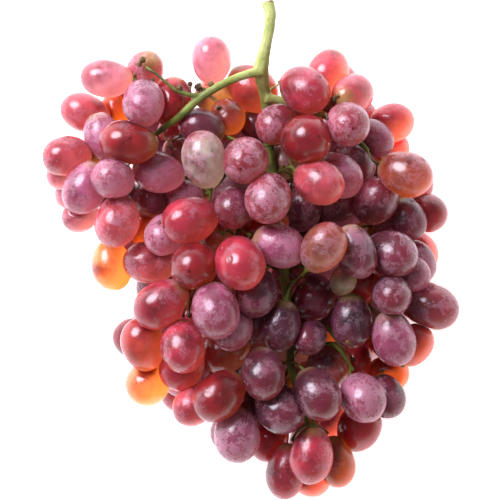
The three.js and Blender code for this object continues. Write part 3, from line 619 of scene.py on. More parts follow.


# Grape skin is a thin glossy cuticle over clear flesh, so light enters and comes out red, shown by
# subsurface scattering and by a painted glow, and the bloom on it is a dusty layer of wax that scatters
# pale light and hides the gloss
skin = {
    "deepTint": "#9A5058",
    "warmTint": "#D04838",
    "warmShare": 0.1,
    "tipColour": "#9A1426",
    "tipReach": 0.35,       # along the berry, 0 at the tip and 1 at the stalk
    "tipShare": 0.45,
    "stalkEndColour": "#A8A04A",
    "stalkEndFrom": 0.8,
    "stalkEndShare": 0.6,
    "bloomColour": "#DAA3B8",
    "stainColour": "#3C1410",
    "scarColour": "#2A1810",
    "scarReach": (0.0014, 0.003, 0.9, 0.0),
    "paintedGlowTint": "#F0681C",
    # patterns: size in mm, detail, roughness, place in the fourth dimension and distortion
    "mottle": (11.0, 3.0, 0.55, 3.0, 0.0),      # slow change of the skin colour
    "clouds": (7.5, 5.0, 0.6, 11.0, 0.5),       # cloudy wiped patches in the bloom
    "streaks": (1.5, 3.0, 0.65, 23.0, 1.2),
    "grains": (0.5, 2.0, 0.7, 31.0, 0.0),       # powdery grains of wax
    "islands": (2.6, 4.0, 0.6, 53.0, 0.8),      # small wiped islands
    "scuffs": (7.0, 4.0, 0.6, 41.0, 1.0),       # brown and corky
    "mottleRange": (0.34, 0.66),
    "cloudShares": (0.62, 0.28, 0.1),           # of clouds, streaks and grains
    "bloomEdge": 0.6,
    "edgeShift": -0.2,      # a bloomed berry is wiped less
    "tornEdge": 0.04,
    "islandRange": (0.56, 0.59, 1.0, 0.25),
    "powder": (0.8, 0.6),
    "veil": 0.17,           # the thinnest bloom, as a share of the thickest
    "thick": 0.58,
    "poreSpacing": 1.3,     # mm between breathing pores
    "poreRange": (0.08, 0.18, 1.0, 0.0),
    "poreStain": 0.3,
    "scuffRange": (0.68, 0.72, 0.0, 0.5),
    "roughBare": 0.2,
    "roughBloom": 0.5,
    "stepHeight": 0.5,
    "streakHeight": 0.9,
    "bumpStrength": 0.5,
    "bumpDistance": 0.18,   # mm
    # the painted glow is strongest on the flank facing this way, away from the window
    "awayFromWindow": (0.66, -0.66, -0.2),
    "awayShare": 0.95,
    "spread": (0.25, 0.1),
    "leastPaintedGlow": 0.1,    # painted glow that even the darkest berry gets
    "paintedGlowStrength": 1.35,
    "bloomShade": -0.7,
    "warmth": (0.4, 0.15),  # the clearer the berry, the more orange its painted glow
}


def skinMaterial():
    material, tree = newMaterial("grape skin with wax bloom")
    objectPlace = addNode(tree, "TexCoord").outputs["Object"]
    berryColour = addNode(tree, "Attribute", attribute_name="berryColour")
    facts = addNode(tree, "Attribute", attribute_name="berryFacts")
    bloomAmount, paintedGlow, along = addNode(tree, "SeparateColor", [facts]).outputs
    seed = addNode(tree, "Attribute", attribute_name="berrySeed").outputs["Fac"]

    def pattern(name):
        # each berry reads its own part of the pattern
        size, detail, roughness, offset, distortion = skin[name]
        fourth = addNode(tree, "Math", (seed, offset), operation="ADD")
        return addNode(tree, "TexNoise", {
            "Vector": objectPlace, "W": fourth, "Scale": 1 / (size * mm), "Detail": detail,
            "Roughness": roughness, "Distortion": distortion,
        }, noise_dimensions="4D").outputs["Fac"]

    def painted(colour, coats):
        for share, coat in coats:
            coat = linear(skin[coat]) if isinstance(coat, str) else coat
            colour = addNode(tree, "Mix", {0: share, 6: colour, 7: coat}, data_type="RGBA").outputs[2]
        return colour

    # flesh and skin colour: cloudy, redder at the tip, greener round the stalk
    mottled = addNode(tree, "MapRange", (pattern("mottle"), *skin["mottleRange"]))
    deeper = addNode(tree, "Mix", {0: 1.0, 6: berryColour, 7: linear(skin["deepTint"])},
                     data_type="RGBA", blend_type="MULTIPLY").outputs[2]
    lighter = addNode(tree, "Mix", {0: skin["warmShare"], 6: berryColour, 7: linear(skin["warmTint"])},
                      data_type="RGBA", blend_type="ADD").outputs[2]
    tip = addNode(tree, "MapRange", (along, 0.0, skin["tipReach"], skin["tipShare"], 0.0))
    stalkEnd = addNode(tree, "MapRange", (along, skin["stalkEndFrom"], 1.0, 0.0, skin["stalkEndShare"]))
    flesh = painted(deeper, [(mottled, lighter), (tip, "tipColour"), (stalkEnd, "stalkEndColour")])

    # bloom: clouds with wiped places and torn edges
    streaks, grains = pattern("streaks"), pattern("grains")
    cloudy = 0.0
    for part, share in zip((pattern("clouds"), streaks, grains), skin["cloudShares"]):
        cloudy = addNode(tree, "Math", (part, share, cloudy), operation="MULTIPLY_ADD")
    edge = addNode(tree, "Math", (bloomAmount, skin["edgeShift"], skin["bloomEdge"]),
                   operation="MULTIPLY_ADD")
    inside = addNode(tree, "Math", (cloudy, edge), operation="SUBTRACT")
    patch = addNode(tree, "MapRange", (inside, 0.0, skin["tornEdge"]))
    island = addNode(tree, "MapRange", (pattern("islands"), *skin["islandRange"]))
    patch = addNode(tree, "Math", (patch, island), operation="MULTIPLY")
    bloom = addNode(tree, "Math", (patch, 1 - skin["veil"], skin["veil"]), operation="MULTIPLY_ADD")
    powder = addNode(tree, "Math", (grains, *skin["powder"]), operation="MULTIPLY_ADD")
    amount = addNode(tree, "Math", (bloomAmount, skin["thick"]), operation="MULTIPLY")
    bloom = addNode(tree, "Math", (bloom, amount), operation="MULTIPLY")
    bloom = addNode(tree, "Math", (bloom, powder), operation="MULTIPLY", use_clamp=True)

    # pores are small darker dots, and scuffs are brown and corky
    pores = addNode(tree, "TexVoronoi", {
        "Vector": objectPlace, "Scale": 1 / (skin["poreSpacing"] * mm), "Randomness": 1.0,
    }, voronoi_dimensions="3D")
    pore = addNode(tree, "MapRange", (pores.outputs["Distance"], *skin["poreRange"]))
    scuff = addNode(tree, "MapRange", (pattern("scuffs"), *skin["scuffRange"]))
    stain = addNode(tree, "Math", (pore, skin["poreStain"]), operation="MULTIPLY")
    stain = addNode(tree, "Math", (stain, scuff), operation="MAXIMUM")
    scar = addNode(tree, "MapRange", (along, *skin["scarReach"]))
    colour = painted(flesh, [(bloom, "bloomColour"), (stain, "stainColour"), (scar, "scarColour")])

    roughRange = skin["roughBloom"] - skin["roughBare"]
    roughness = addNode(tree, "Math", (bloom, roughRange, skin["roughBare"]), operation="MULTIPLY_ADD")
    step = addNode(tree, "Math", (patch, pore), operation="SUBTRACT")
    ridge = addNode(tree, "Math", (streaks, skin["streakHeight"]), operation="MULTIPLY")
    height = addNode(tree, "Math", (step, skin["stepHeight"], ridge), operation="MULTIPLY_ADD")
    bump = addNode(tree, "Bump", {
        "Strength": skin["bumpStrength"], "Distance": skin["bumpDistance"] * mm, "Height": height,
    })

    # painted glow: the flank facing away from the window glows, standing in for light that entered on
    # the window's side and crossed the clear flesh
    normal = addNode(tree, "NewGeometry").outputs["Normal"]
    away = addNode(tree, "VectorMath", (normal, skin["awayFromWindow"]), operation="DOT_PRODUCT")
    paintedGlowLevel = addNode(tree, "Math", (paintedGlow, skin["leastPaintedGlow"]), operation="MAXIMUM")
    spread = addNode(tree, "Math", (paintedGlowLevel, *skin["spread"]), operation="MULTIPLY_ADD")
    away = addNode(tree, "Math", (away.outputs["Value"], skin["awayShare"], spread),
                   operation="MULTIPLY_ADD", use_clamp=True)
    bare = addNode(tree, "Math", (bloom, skin["bloomShade"], 1.0), operation="MULTIPLY_ADD")
    light = skin["paintedGlowStrength"]
    for part in (paintedGlowLevel, away, bare):
        light = addNode(tree, "Math", (light, part), operation="MULTIPLY")
    warmth = addNode(tree, "Math", (paintedGlow, *skin["warmth"]), operation="MULTIPLY_ADD", use_clamp=True)
    paintedGlowColour = painted(lighter, [(warmth, "paintedGlowTint")])
    finishMaterial(tree, {
        "Base Color": colour, "Roughness": roughness, "Normal": bump, "IOR": 1.5,
        "Subsurface Weight": 0.22, "Subsurface Scale": 4.0 * mm, "Subsurface Radius": (1.0, 0.25, 0.18),
        "Coat Weight": 0.4, "Coat Roughness": 0.16,
        "Sheen Weight": 0.07, "Sheen Roughness": 0.25, "Sheen Tint": linear("#F0D8F0"),
        "Emission Color": paintedGlowColour, "Emission Strength": light,
    })
    return material


shift = Vector((bunch["originShift"][0], bunch["originShift"][1], 0.0))


def pressPlanes(berry):
    # one plane for each neighbour and each stalk that leans on the berry
    planes = [(Vector((0, 0, -1)), 0.0)]
    for other in everyBerry:
        if other is berry:
            continue
        apart = abs(other.x - berry.x) + abs(other.y - berry.y) + abs(other.z - berry.z)
        if apart > grape["nearEnough"]:
            continue
        gap, normal, own = closestBalls(berry, other)
        if gap < grape["touchGap"]:
            direction = Vector(normal)
            centre = Vector((berry.x + own[0], berry.y + own[1], berry.z + own[2]))
            planes.append((direction, centre.dot(direction) + own[3] + gap / 2 - grape["contactGap"]))
    for ballX, ballY, ballZ, radius, spare in stalkRow:
        if max(abs(ballX - berry.x), abs(ballY - berry.y)) > grape["stalkNear"]:
            continue
        for dx, dy, dz, own in berry.balls:
            way = Vector((ballX - berry.x - dx, ballY - berry.y - dy, ballZ - berry.z - dz))
            if way.length - own - radius < grape["touchGap"]:
                direction = way.normalized()
                centre = Vector((berry.x + dx, berry.y + dy, berry.z + dz))
                reach = way.length - radius - grape["stalkRoom"]
                planes.append((direction, centre.dot(direction) + reach))
    return planes


def pressed(point, planes):
    soft = grape["edgeSoftness"]
    for sweep in range(3):
        for normal, offset in planes:
            beyond = point.dot(normal) - offset
            if beyond > soft:
                point = point - normal * beyond
            elif sweep == 0 and beyond > -soft:
                point = point - normal * ((beyond + soft) ** 2 / (4 * soft))
            elif beyond > 0:
                point = point - normal * beyond
    return point


def addGrape(mesh, layers, berry, number):
    made = bmesh.ops.create_uvsphere(mesh, u_segments=grape["sides"], v_segments=grape["rings"],
                                     radius=1.0)
    random.seed(number + 1)
    seed = random.uniform(0, grape["seedRange"])
    # each tone gives a skin colour, a bloom and the strength of a painted glow
    colour, bloom, paintedGlow = tones[berry.tone]
    vary = random.uniform(*grape["colourRange"])
    colour = [min(1.0, c * vary) for c in linear(colour)[:3]] + [1.0]
    bloom = min(1.0, max(0.0, bloom + random.uniform(*grape["bloomRange"])))
    turn = Vector((0, 0, 1)).rotation_difference(Vector(berry.axis))
    roll = Quaternion((0, 0, 1), random.uniform(0, 2 * math.pi))
    centre = Vector((berry.x, berry.y, berry.z))
    planes = pressPlanes(berry)
    colourLayer, factsLayer, seedLayer = layers
    dimpleFrom = grape["dimpleFrom"]
    for vert in made["verts"]:
        unit = vert.co.copy()
        narrow = (1 - bunch["taper"] * unit.z) * berry.swell
        stray = 1 + grape["wobble"] * noise.noise(unit * 1.6 + Vector((seed, 0, 0))) * 2
        length = berry.halfLength * unit.z
        if unit.z > dimpleFrom:
            length -= grape["dimpleDepth"] * ((unit.z - dimpleFrom) / (1 - dimpleFrom)) ** 1.5
        across = berry.halfWidth * narrow
        point = Vector((unit.x * across, unit.y * across, length)) * stray
        point = turn @ (roll @ point) + centre
        vert.co = (pressed(point, planes) + shift) * mm
        vert[colourLayer] = colour
        # berryFacts holds the bloom, the painted glow and the place along the berry
        vert[factsLayer] = (bloom, paintedGlow, unit.z * 0.5 + 0.5, 1.0)
        vert[seedLayer] = seed


def finishedObject(name, mesh, material):
    data = bpy.data.meshes.new(name)
    for face in mesh.faces:
        face.smooth = True
    mesh.to_mesh(data)
    mesh.free()
    piece = bpy.data.objects.new(name, data)
    bpy.context.scene.collection.objects.link(piece)
    data.materials.append(material)
    return piece


def nodeTree(node):
    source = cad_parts[node].data
    corners = [vert.co for vert in source.vertices]
    return BVHTree.FromPolygons(corners, [list(face.vertices) for face in source.polygons])


def isInside(tree, point):
    place, normal, index, distance = tree.find_nearest(point)
    return (point - place).dot(normal) < 0


grapeSkin = skinMaterial()
sprayNames = sorted(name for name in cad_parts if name.startswith("berries_"))
sprayTrees = {name: nodeTree(name) for name in sprayNames}
owners = {name: [] for name in sprayNames}
for number, berry in enumerate(ripe):
    centre = (Vector((berry.x, berry.y, berry.z)) + shift) * mm
    inside = [name for name in sprayNames if isInside(sprayTrees[name], centre)]
    if len(inside) != 1:
        print("berry", number, "lies in", inside)
    owners[inside[0] if inside else sprayNames[0]].append((number, berry))


def buildSpray(node, members, material):
    mesh = bmesh.new()
    layers = (mesh.verts.layers.float_color.new("berryColour"),
              mesh.verts.layers.float_color.new("berryFacts"),
              mesh.verts.layers.float.new("berrySeed"))
    for number, berry in members:
        addGrape(mesh, layers, berry, number)
    piece = finishedObject(node.replace("berries_", "grapes_"), mesh, material)
    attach(piece, "root")
    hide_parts(node)
    return piece


sprays = [buildSpray(node, members, grapeSkin) for node, members in owners.items()]
print("sprays built:", len(sprays))

unripePiece = buildSpray("unripe_berry", [(len(ripe), unripe)], grapeSkin)
unripePiece.name = "green_grape"
sprays.append(unripePiece)


# The stalk is green, tough and ribbed, brown where it was cut and at its dried twig ends, and darker
# green inside the bunch, partly its own colour and partly painted shade
stalk = {
    "voxel": 0.5 * mm,
    "smoothRounds": 8,
    "young": "#C4CE80",
    "old": "#9AAA50",
    # the inner greens colour the stalk inside the bunch; the darker one is partly its own colour and
    # partly painted shade
    "inner": "#7A8C34",
    "paintedShadeGreen": "#3E4018",
    "brown": "#8A683A",
    "dryDark": "#43301A",
    "cutFace": "#8E6E48",
    "wideSize": 9.0,        # mm, slow change of the green
    "wideRange": (0.3, 0.62),
    "innerRange": (0.35, 0.65),
    "ribSize": 0.9,
    "ribStretch": (1.0, 0.12, 1.0),
    "speckSize": 1.6,
    "speckRange": (0.6, 0.68, 0.0, 0.5),
    "armDarkening": (-6.0, -32.0),     # mm across, where the left arm turns to the darker inner green towards its twigs, partly its own colour and partly painted shade
    "stalkPales": (50.0, 74.0),     # mm along the bunch, below which the main stalk takes the darker inner green, partly painted shade, and above which it is pale
    "cutDries": (110.5, 111.7),     # mm along the bunch, where the cut end is dry
}


def stalkMaterial(name, outer, inner):
    material, tree = newMaterial(name)
    objectPlace = addNode(tree, "TexCoord").outputs["Object"]
    wide = addNode(tree, "TexNoise", {
        "Vector": objectPlace, "Scale": 1 / (stalk["wideSize"] * mm), "Detail": 4.0,
    })
    stretched = addNode(tree, "Mapping", {"Vector": objectPlace, "Scale": stalk["ribStretch"]})
    ribs = addNode(tree, "TexNoise", {
        "Vector": stretched, "Scale": 1 / (stalk["ribSize"] * mm), "Detail": 3.0,
    })
    specks = addNode(tree, "TexNoise", {
        "Vector": objectPlace, "Scale": 1 / (stalk["speckSize"] * mm), "Detail": 3.0,
    })
    across, along, up = addNode(tree, "SeparateXYZ", [objectPlace]).outputs

    def blended(factor, first, second):
        ends = [linear(end) if isinstance(end, str) else end for end in (first, second)]
        return addNode(tree, "Mix", {0: factor, 6: ends[0], 7: ends[1]}, data_type="RGBA").outputs[2]

    def spanned(source, key, *ends):
        low, high = stalk[key]
        return addNode(tree, "MapRange", (source, low * mm, high * mm, *ends))

    # below the pale top and along the left arm the stalk takes the inner greens, partly painted shade
    fresh = addNode(tree, "Math", (spanned(along, "stalkPales"), spanned(across, "armDarkening", 1.0, 0.0)),
                    operation="MULTIPLY")
    outside = blended(addNode(tree, "MapRange", (wide, *stalk["wideRange"])), *outer)
    innerWithPaintedShade = blended(addNode(tree, "MapRange", (wide, *stalk["innerRange"])), *inner)
    colour = blended(fresh, innerWithPaintedShade, outside)
    colour = blended(addNode(tree, "MapRange", (specks, *stalk["speckRange"])), colour, stalk["brown"])
    colour = blended(spanned(along, "cutDries"), colour, stalk["cutFace"])
    bump = addNode(tree, "Bump", {"Strength": 0.35, "Distance": 0.2 * mm, "Height": ribs})
    finishMaterial(tree, {
        "Base Color": colour, "Normal": bump, "Roughness": 0.5, "IOR": 1.45,
        "Subsurface Weight": 0.15, "Subsurface Scale": 1.0 * mm,
    })
    return material


def buildStalk(material):
    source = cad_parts["stem"]
    mesh = bmesh.new()
    mesh.from_mesh(source.data)
    bmesh.ops.remove_doubles(mesh, verts=mesh.verts[:], dist=0.002 * mm)
    piece = finishedObject("green_stalk", mesh, material)
    remesh = piece.modifiers.new("even", "REMESH")
    remesh.mode = "VOXEL"
    remesh.voxel_size = stalk["voxel"]
    remesh.use_smooth_shade = True
    smooth = piece.modifiers.new("round", "SMOOTH")
    smooth.factor = 0.5
    smooth.iterations = stalk["smoothRounds"]
    graph = bpy.context.evaluated_depsgraph_get()
    data = bpy.data.meshes.new_from_object(piece.evaluated_get(graph))
    piece.modifiers.clear()
    piece.data = data
    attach(piece, "root")
    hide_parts("stem")
    print("stalk triangles about", 2 * len(data.polygons))
    return piece


# the pedicels and the bits of stalk between the berries take the darker inner greens all over, partly
# painted shade
greensWithPaintedShade = (stalk["paintedShadeGreen"], stalk["inner"])
browns = (stalk["dryDark"], stalk["brown"])
stalkGreen = stalkMaterial("fresh grape stalk", (stalk["old"], stalk["young"]), greensWithPaintedShade)
pedicelGreen = stalkMaterial("pedicel green with painted shade", greensWithPaintedShade, greensWithPaintedShade)
stalkBrown = stalkMaterial("dried grape stalk", browns, browns)
buildStalk(stalkGreen)


def skinTree(piece):
    data = piece.data
    return BVHTree.FromPolygons([vert.co for vert in data.vertices],
                                [list(face.vertices) for face in data.polygons])


skinTrees = [skinTree(piece) for piece in sprays]


def topAt(pixelX, pixelY):
    # place and outward direction of the topmost skin at a picture pixel
    start = (Vector((acrossAt(pixelX), alongAt(pixelY), 200.0)) + shift) * mm
    found = [tree.ray_cast(start, Vector((0, 0, -1)))[:2] for tree in skinTrees]
    found = [hit for hit in found if hit[0]]
    return max(found, key=lambda hit: hit[0].z) if found else None


def newStrands(name):
    curve = bpy.data.curves.new(name, "CURVE")
    curve.dimensions = "3D"
    curve.bevel_depth = mm
    curve.bevel_resolution = 2
    curve.use_fill_caps = True
    return curve


def addStrand(curve, places, radii):
    # places in metres, radii in mm
    spline = curve.splines.new("POLY")
    spline.points.add(len(places) - 1)
    for point, place, radius in zip(spline.points, places, radii):
        point.co = (*place, 1.0)
        point.radius = radius


def strandMesh(curve):
    loose = bpy.data.objects.new(curve.name, curve)
    bpy.context.scene.collection.objects.link(loose)
    graph = bpy.context.evaluated_depsgraph_get()
    mesh = bmesh.new()
    mesh.from_mesh(bpy.data.meshes.new_from_object(loose.evaluated_get(graph)))
    bpy.data.objects.remove(loose)
    return mesh


def addKnob(mesh, place, radius):
    # a lumpy dried end
    made = bmesh.ops.create_icosphere(mesh, subdivisions=3, radius=1.0)
    for vert in made["verts"]:
        lump = 1 + 0.35 * noise.noise(vert.co * 1.9 + place * 400)
        vert.co = vert.co * lump * radius * mm + place


# Each berry's own little stalk: it flares where it holds the berry, then bends to the nearest branch
pedicel = {
    "profile": [(-0.6, 1.3), (0.15, 1.75), (0.7, 1.7), (1.5, 1.0), (3.0, 0.65), (4.5, 0.6),
                (6.0, 0.6), (8.0, 0.65), (10.0, 0.7)],   # mm along it, radius in mm
    "bend": 0.11,           # how fast it turns to the branch
    "stopInside": 0.6,      # mm inside a neighbour where it ends
    "clearOfSolid": 1.4,    # mm from the stalk where it ends
    "straight": 1.0,        # mm, the flared part
}


def insideNeighbour(point, berry):
    for other in everyBerry:
        if other is berry:
            continue
        for dx, dy, dz, radius in other.balls:
            away = Vector((other.x + dx, other.y + dy, other.z + dz)) - point
            if away.length < radius - pedicel["stopInside"]:
                return True
    return False


def coveredAbove(point, berry):
    return any(math.hypot(other.x + dx - point.x, other.y + dy - point.y) < radius and other.z > point.z
               for other in everyBerry if other is not berry for dx, dy, dz, radius in other.balls)


def buildPedicels(material, solidStalk):
    curve = newStrands("pedicels")
    for berry in everyBerry:
        axis = Vector(berry.axis)
        end = Vector((berry.x, berry.y, berry.z)) + axis * (berry.halfLength - grape["dimpleDepth"])
        if not (berry.shownEnd or coveredAbove(end, berry)):
            continue
        nearest = min(stalkRow, key=lambda ball: (Vector(ball[:3]) - end).length)
        pull = Vector(nearest[:3]) - end
        point, way, last = end.copy(), axis.copy(), 0.0
        places, radii = [], []
        for distance, radius in pedicel["profile"]:
            point = point + way * (distance - last)
            point.z = max(point.z, radius)      # it can't reach under the table
            free = distance > pedicel["straight"]
            if free and pull.length > 0.5:
                way = (way + pull.normalized() * pedicel["bend"] * (distance - last)).normalized()
            last = distance
            places.append((point + shift) * mm)
            radii.append(radius)
            near, normal, index, gap = solidStalk.find_nearest(places[-1])
            if free and (gap < pedicel["clearOfSolid"] * mm or insideNeighbour(point, berry)
                         or not coveredAbove(point, berry)):
                break
        addStrand(curve, places, radii)
    piece = finishedObject("pedicels", strandMesh(curve), material)
    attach(piece, "root")
    print("pedicels built:", len(curve.splines))


# Bits of stalk that show between the berries: radius in mm, then places in picture pixels
shownGreen = [
    (0.95, [(268, 265), (275, 268), (282, 271), (289, 275)]),
    (0.8, [(288, 275), (290, 270), (294, 267), (299, 266), (304, 269), (307, 275)]),
    (0.55, [(289, 275), (286, 280), (284, 286), (284, 292), (284, 297)]),
    (0.6, [(272, 166), (276, 170), (281, 169), (287, 172), (293, 175)]),
    (0.5, [(278, 173), (281, 169), (284, 165)]),
    (0.6, [(218, 231), (224, 234), (229, 230), (233, 234)]),
    (0.7, [(327, 326), (332, 334), (338, 342), (345, 351), (351, 358), (355, 361)]),
]
shownBrown = [
    (0.6, [(304, 269), (302, 276), (299, 281), (301, 287)]),
    (0.55, [(196, 288), (192, 294), (187, 303), (185, 310), (184, 316)]),
    (0.5, [(192, 298), (190, 306), (189, 314)]),
    (0.55, [(347, 341), (351, 343), (352, 347)]),
    (0.7, [(207, 93), (215, 99), (220, 107)]),
    (0.7, [(198, 98), (199, 93), (198.7, 88)]),
    (0.6, [(191, 95), (190, 90), (190.5, 85)]),
    (0.6, [(206, 93), (209, 89), (211, 85)]),
    (0.6, [(163, 128), (164, 138), (172, 141), (181, 136)]),
    (0.5, [(168, 141), (170, 148)]),
    (0.6, [(330, 110), (333, 101)]),
    (0.6, [(327, 121), (325, 115)]),
]
# Dried ends where berries dropped off: picture pixels and radius in mm
knobs = [
    (143, 61, 1.5), (140, 65, 1.2), (135, 75, 1.0), (180, 89, 1.4), (190.5, 85, 1.1), (198.7, 88, 1.7),
    (204, 91, 1.2), (211, 85, 1.4), (219, 108, 1.3), (181, 135, 1.4), (168, 146, 0.9),
    (333.6, 100.4, 1.7), (337, 97, 1.0), (325, 115, 1.5), (301, 288, 0.8), (188.5, 316, 1.1),
    (347, 341, 0.9), (365.5, 342, 1.2), (383, 372, 0.9), (314, 356, 0.9), (307, 277, 1.2),
]


laid = {"noSkin": 30.0, "steepest": 3.0, "besideBranch": 5.5}    # mm


def strandPlaces(points, radius):
    # they lie on the skins behind them, without steep jumps
    tops = [topAt(x, y) for x, y in points]
    heights = [top[0].z if top else laid["noSkin"] * mm for top in tops]
    middle = sorted(heights)[len(heights) // 2]
    most = laid["steepest"] * mm
    places = []
    for (x, y), height in zip(points, heights):
        level = min(middle + most, max(middle - most, height)) + radius * mm
        places.append(Vector(((acrossAt(x) + shift.x) * mm, (alongAt(y) + shift.y) * mm, level)))
    return places


def knobPlace(pixelX, pixelY):
    # on the skin there, or beside a branch that passes within reach above it
    x, y = acrossAt(pixelX), alongAt(pixelY)
    top = topAt(pixelX, pixelY)
    height = top[0].z if top else laid["noSkin"] * mm
    nearest = min(stalkRow, key=lambda ball: math.hypot(ball[0] - x, ball[1] - y))
    if math.hypot(nearest[0] - x, nearest[1] - y) < laid["besideBranch"]:
        height = max(height, nearest[2] * mm)
    return Vector(((x + shift.x) * mm, (y + shift.y) * mm, height))


def buildShownStalks():
    for name, rows, material in (("shown_stalk_bits", shownGreen, pedicelGreen),
                                 ("dried_stalk_ends", shownBrown, stalkBrown)):
        curve = newStrands(name)
        for radius, points in rows:
            places = strandPlaces(points, radius)
            addStrand(curve, places, [radius] * len(places))
        mesh = strandMesh(curve)
        if material is stalkBrown:
            for x, y, radius in knobs:
                addKnob(mesh, knobPlace(x, y), radius)
        piece = finishedObject(name, mesh, material)
        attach(piece, "root")
    print("stalk bits and dried ends built")


stalkTree = skinTree(bpy.data.objects["green_stalk"])
buildPedicels(pedicelGreen, stalkTree)
buildShownStalks()

# Drops left by rinsing: picture pixels and radius in mm, then a seeded sprinkle of small ones
drops = {
    "seen": [
        (222, 248, 1.5), (230, 259, 1.7), (228, 273, 0.9), (145.5, 96.7, 0.8), (129, 106, 0.7),
        (199, 155, 0.9), (194, 163, 0.8), (159, 223, 1.3), (187, 235.5, 0.9), (231, 167, 0.9),
        (248, 143, 0.7), (319, 77, 1.0), (421, 160, 1.2), (412, 200, 1.4), (345.5, 106, 1.0),
        (347, 138, 0.9), (329, 205, 1.1), (310, 180, 0.7), (405, 209, 0.8), (132, 140, 0.6),
    ],
    "seed": 5,
    "small": 70,
    "smallRadius": (0.3, 0.65),
    "flatness": 0.42,
    "steepest": 0.35,
    "lowest": 38.0,
    "acrossPicture": (50, 450),
    "alongPicture": (50, 480),
}


def waterMaterial():
    material, tree = newMaterial("clear water")
    finishMaterial(tree, {
        "Base Color": linear("#FFFFFF"), "Roughness": 0.0, "IOR": 1.33, "Transmission Weight": 1.0,
    })
    return material


def addDrop(mesh, pixelX, pixelY, radius):
    top = topAt(pixelX, pixelY)
    if not top or top[1].z < drops["steepest"] or top[0].z < drops["lowest"] * mm:
        return
    place, outward = top
    turn = Vector((0, 0, 1)).rotation_difference(outward)
    made = bmesh.ops.create_icosphere(mesh, subdivisions=3, radius=1.0)
    for vert in made["verts"]:
        x, y, z = vert.co
        ragged = 1 + 0.12 * noise.noise(Vector((x, y, 0)) * 1.5 + place * 500)
        z = z * drops["flatness"] if z > 0 else z * 0.15
        vert.co = turn @ Vector((x * ragged, y * 1.15 * ragged, z)) * radius * mm + place


def buildDrops():
    mesh = bmesh.new()
    for x, y, radius in drops["seen"]:
        addDrop(mesh, x, y, radius)
    random.seed(drops["seed"])
    for count in range(drops["small"]):
        x = random.uniform(*drops["acrossPicture"])
        y = random.uniform(*drops["alongPicture"])
        addDrop(mesh, x, y, random.uniform(*drops["smallRadius"]))
    piece = finishedObject("water_drops", mesh, waterMaterial())
    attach(piece, "root")
    print("drops built")


buildDrops()

# Camera straight above, its view as wide as the picture
view = {"height": 1.9, "focus": 0.045, "framePixels": 500.0, "sensor": 36.0}


def addCamera():
    camera = bpy.data.objects.new("camera", bpy.data.cameras.new("camera"))
    bpy.context.scene.collection.objects.link(camera)
    camera.location = (shift.x * mm, shift.y * mm, view["height"])
    camera.data.sensor_width = view["sensor"]
    width = view["framePixels"] * scale * mm
    camera.data.lens = view["sensor"] * (view["height"] - view["focus"]) / width
    camera.data.clip_start = 0.05
    camera.data.clip_end = 20
    bpy.context.scene.camera = camera


studio = {
    "tableSize": 4.0,               # m, half its side
    "paper": ("#EEEEF0", "#F6F6F8"),
    "paperGrain": 500.0,            # grains a metre
    "paperRange": (0.3, 0.7),
    "tableGlow": 0.88,
    "paintedShadePatch": (290, 250, 135, 150),  # picture pixels: middle, half width and half length of the painted shade under the bunch, where the table doesn't glow
    "paintedShadeEdge": (0.92, 1.08),
    "roomOverhead": 0.17,
    "roomHorizon": 1.8,
    "roomFalloff": 4.0,
    # the window: place and target in metres, size in metres, watts
    "window": (-0.8, 0.85, 0.95),
    "target": (0, 0, 0.04),
    "windowSize": 1.0,
    "windowPower": 38,
    "windowColour": "#F6F0FF",
}


def addWindow():
    data = bpy.data.lights.new("window", "AREA")
    data.shape = "DISK"
    data.size = studio["windowSize"]
    data.energy = studio["windowPower"]
    data.color = linear(studio["windowColour"])[:3]
    lamp = bpy.data.objects.new("window", data)
    bpy.context.scene.collection.objects.link(lamp)
    lamp.location = studio["window"]
    way = Vector(studio["target"]) - lamp.location
    lamp.rotation_euler = way.to_track_quat("-Z", "Y").to_euler()


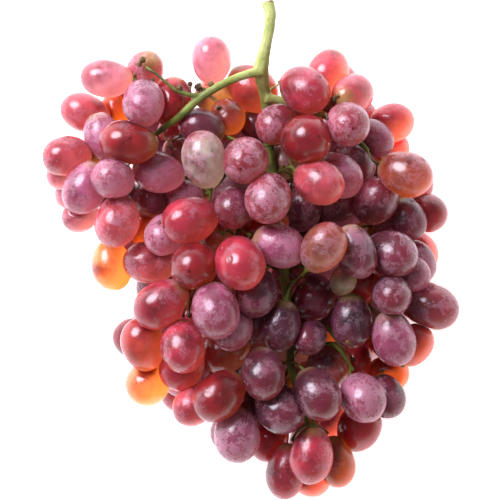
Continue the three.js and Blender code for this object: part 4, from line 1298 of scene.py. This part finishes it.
def addTable():
    mesh = bmesh.new()
    bmesh.ops.create_grid(mesh, x_segments=1, y_segments=1, size=studio["tableSize"])
    # matt white table whose surface glows in place of a lamp beneath it: it throws a soft light up
    # between the berries
    material, tree = newMaterial("glowing white table with painted shade under the bunch")
    place = addNode(tree, "TexCoord").outputs["Object"]
    grain = addNode(tree, "TexNoise", {"Vector": place, "Scale": studio["paperGrain"]})
    grain = addNode(tree, "MapRange", (grain, *studio["paperRange"]))
    dull, clean = [linear(colour) for colour in studio["paper"]]
    paper = addNode(tree, "Mix", {0: grain, 6: dull, 7: clean}, data_type="RGBA").outputs[2]
    # painted shade: the glow is cut away under the thick of the bunch, so the table is darker there
    x, y, halfWidth, halfLength = studio["paintedShadePatch"]
    halfWidth, halfLength = halfWidth * scale, halfLength * scale
    centred = addNode(tree, "Mapping", {
        "Vector": place, "Location": (-acrossAt(x) / halfWidth, -alongAt(y) / halfLength, 0.0),
        "Scale": (1 / (halfWidth * mm), 1 / (halfLength * mm), 0.0),
    })
    away = addNode(tree, "VectorMath", [centred], operation="LENGTH").outputs["Value"]
    paintedGlow = addNode(tree, "MapRange", (away, *studio["paintedShadeEdge"], 0.0, studio["tableGlow"]))
    finishMaterial(tree, {
        "Base Color": paper, "Roughness": 0.85, "Emission Color": clean, "Emission Strength": paintedGlow,
    })
    finishedObject("table", mesh, material)


def addRoom():
    # white walls all round under a darker ceiling, so the berries' edges shine pale
    world = bpy.data.worlds.new("soft white room")
    bpy.context.scene.world = world
    world.use_nodes = True
    tree = world.node_tree
    direction = addNode(tree, "TexCoord").outputs["Generated"]
    upward = addNode(tree, "SeparateXYZ", [direction]).outputs[2]
    slope = addNode(tree, "Math", [upward], operation="ABSOLUTE")
    level = addNode(tree, "Math", (1.0, slope), operation="SUBTRACT", use_clamp=True)
    level = addNode(tree, "Math", (level, studio["roomFalloff"]), operation="POWER")
    span = studio["roomHorizon"] - studio["roomOverhead"]
    strength = addNode(tree, "Math", (level, span, studio["roomOverhead"]), operation="MULTIPLY_ADD")
    background = tree.nodes["Background"]
    background.inputs["Color"].default_value = linear("#FFFFFF")
    tree.links.new(strength.outputs[0], background.inputs["Strength"])


addCamera()
addTable()
addRoom()
addWindow()
bpy.context.scene.view_settings.view_transform = "Standard"
print("stage built")
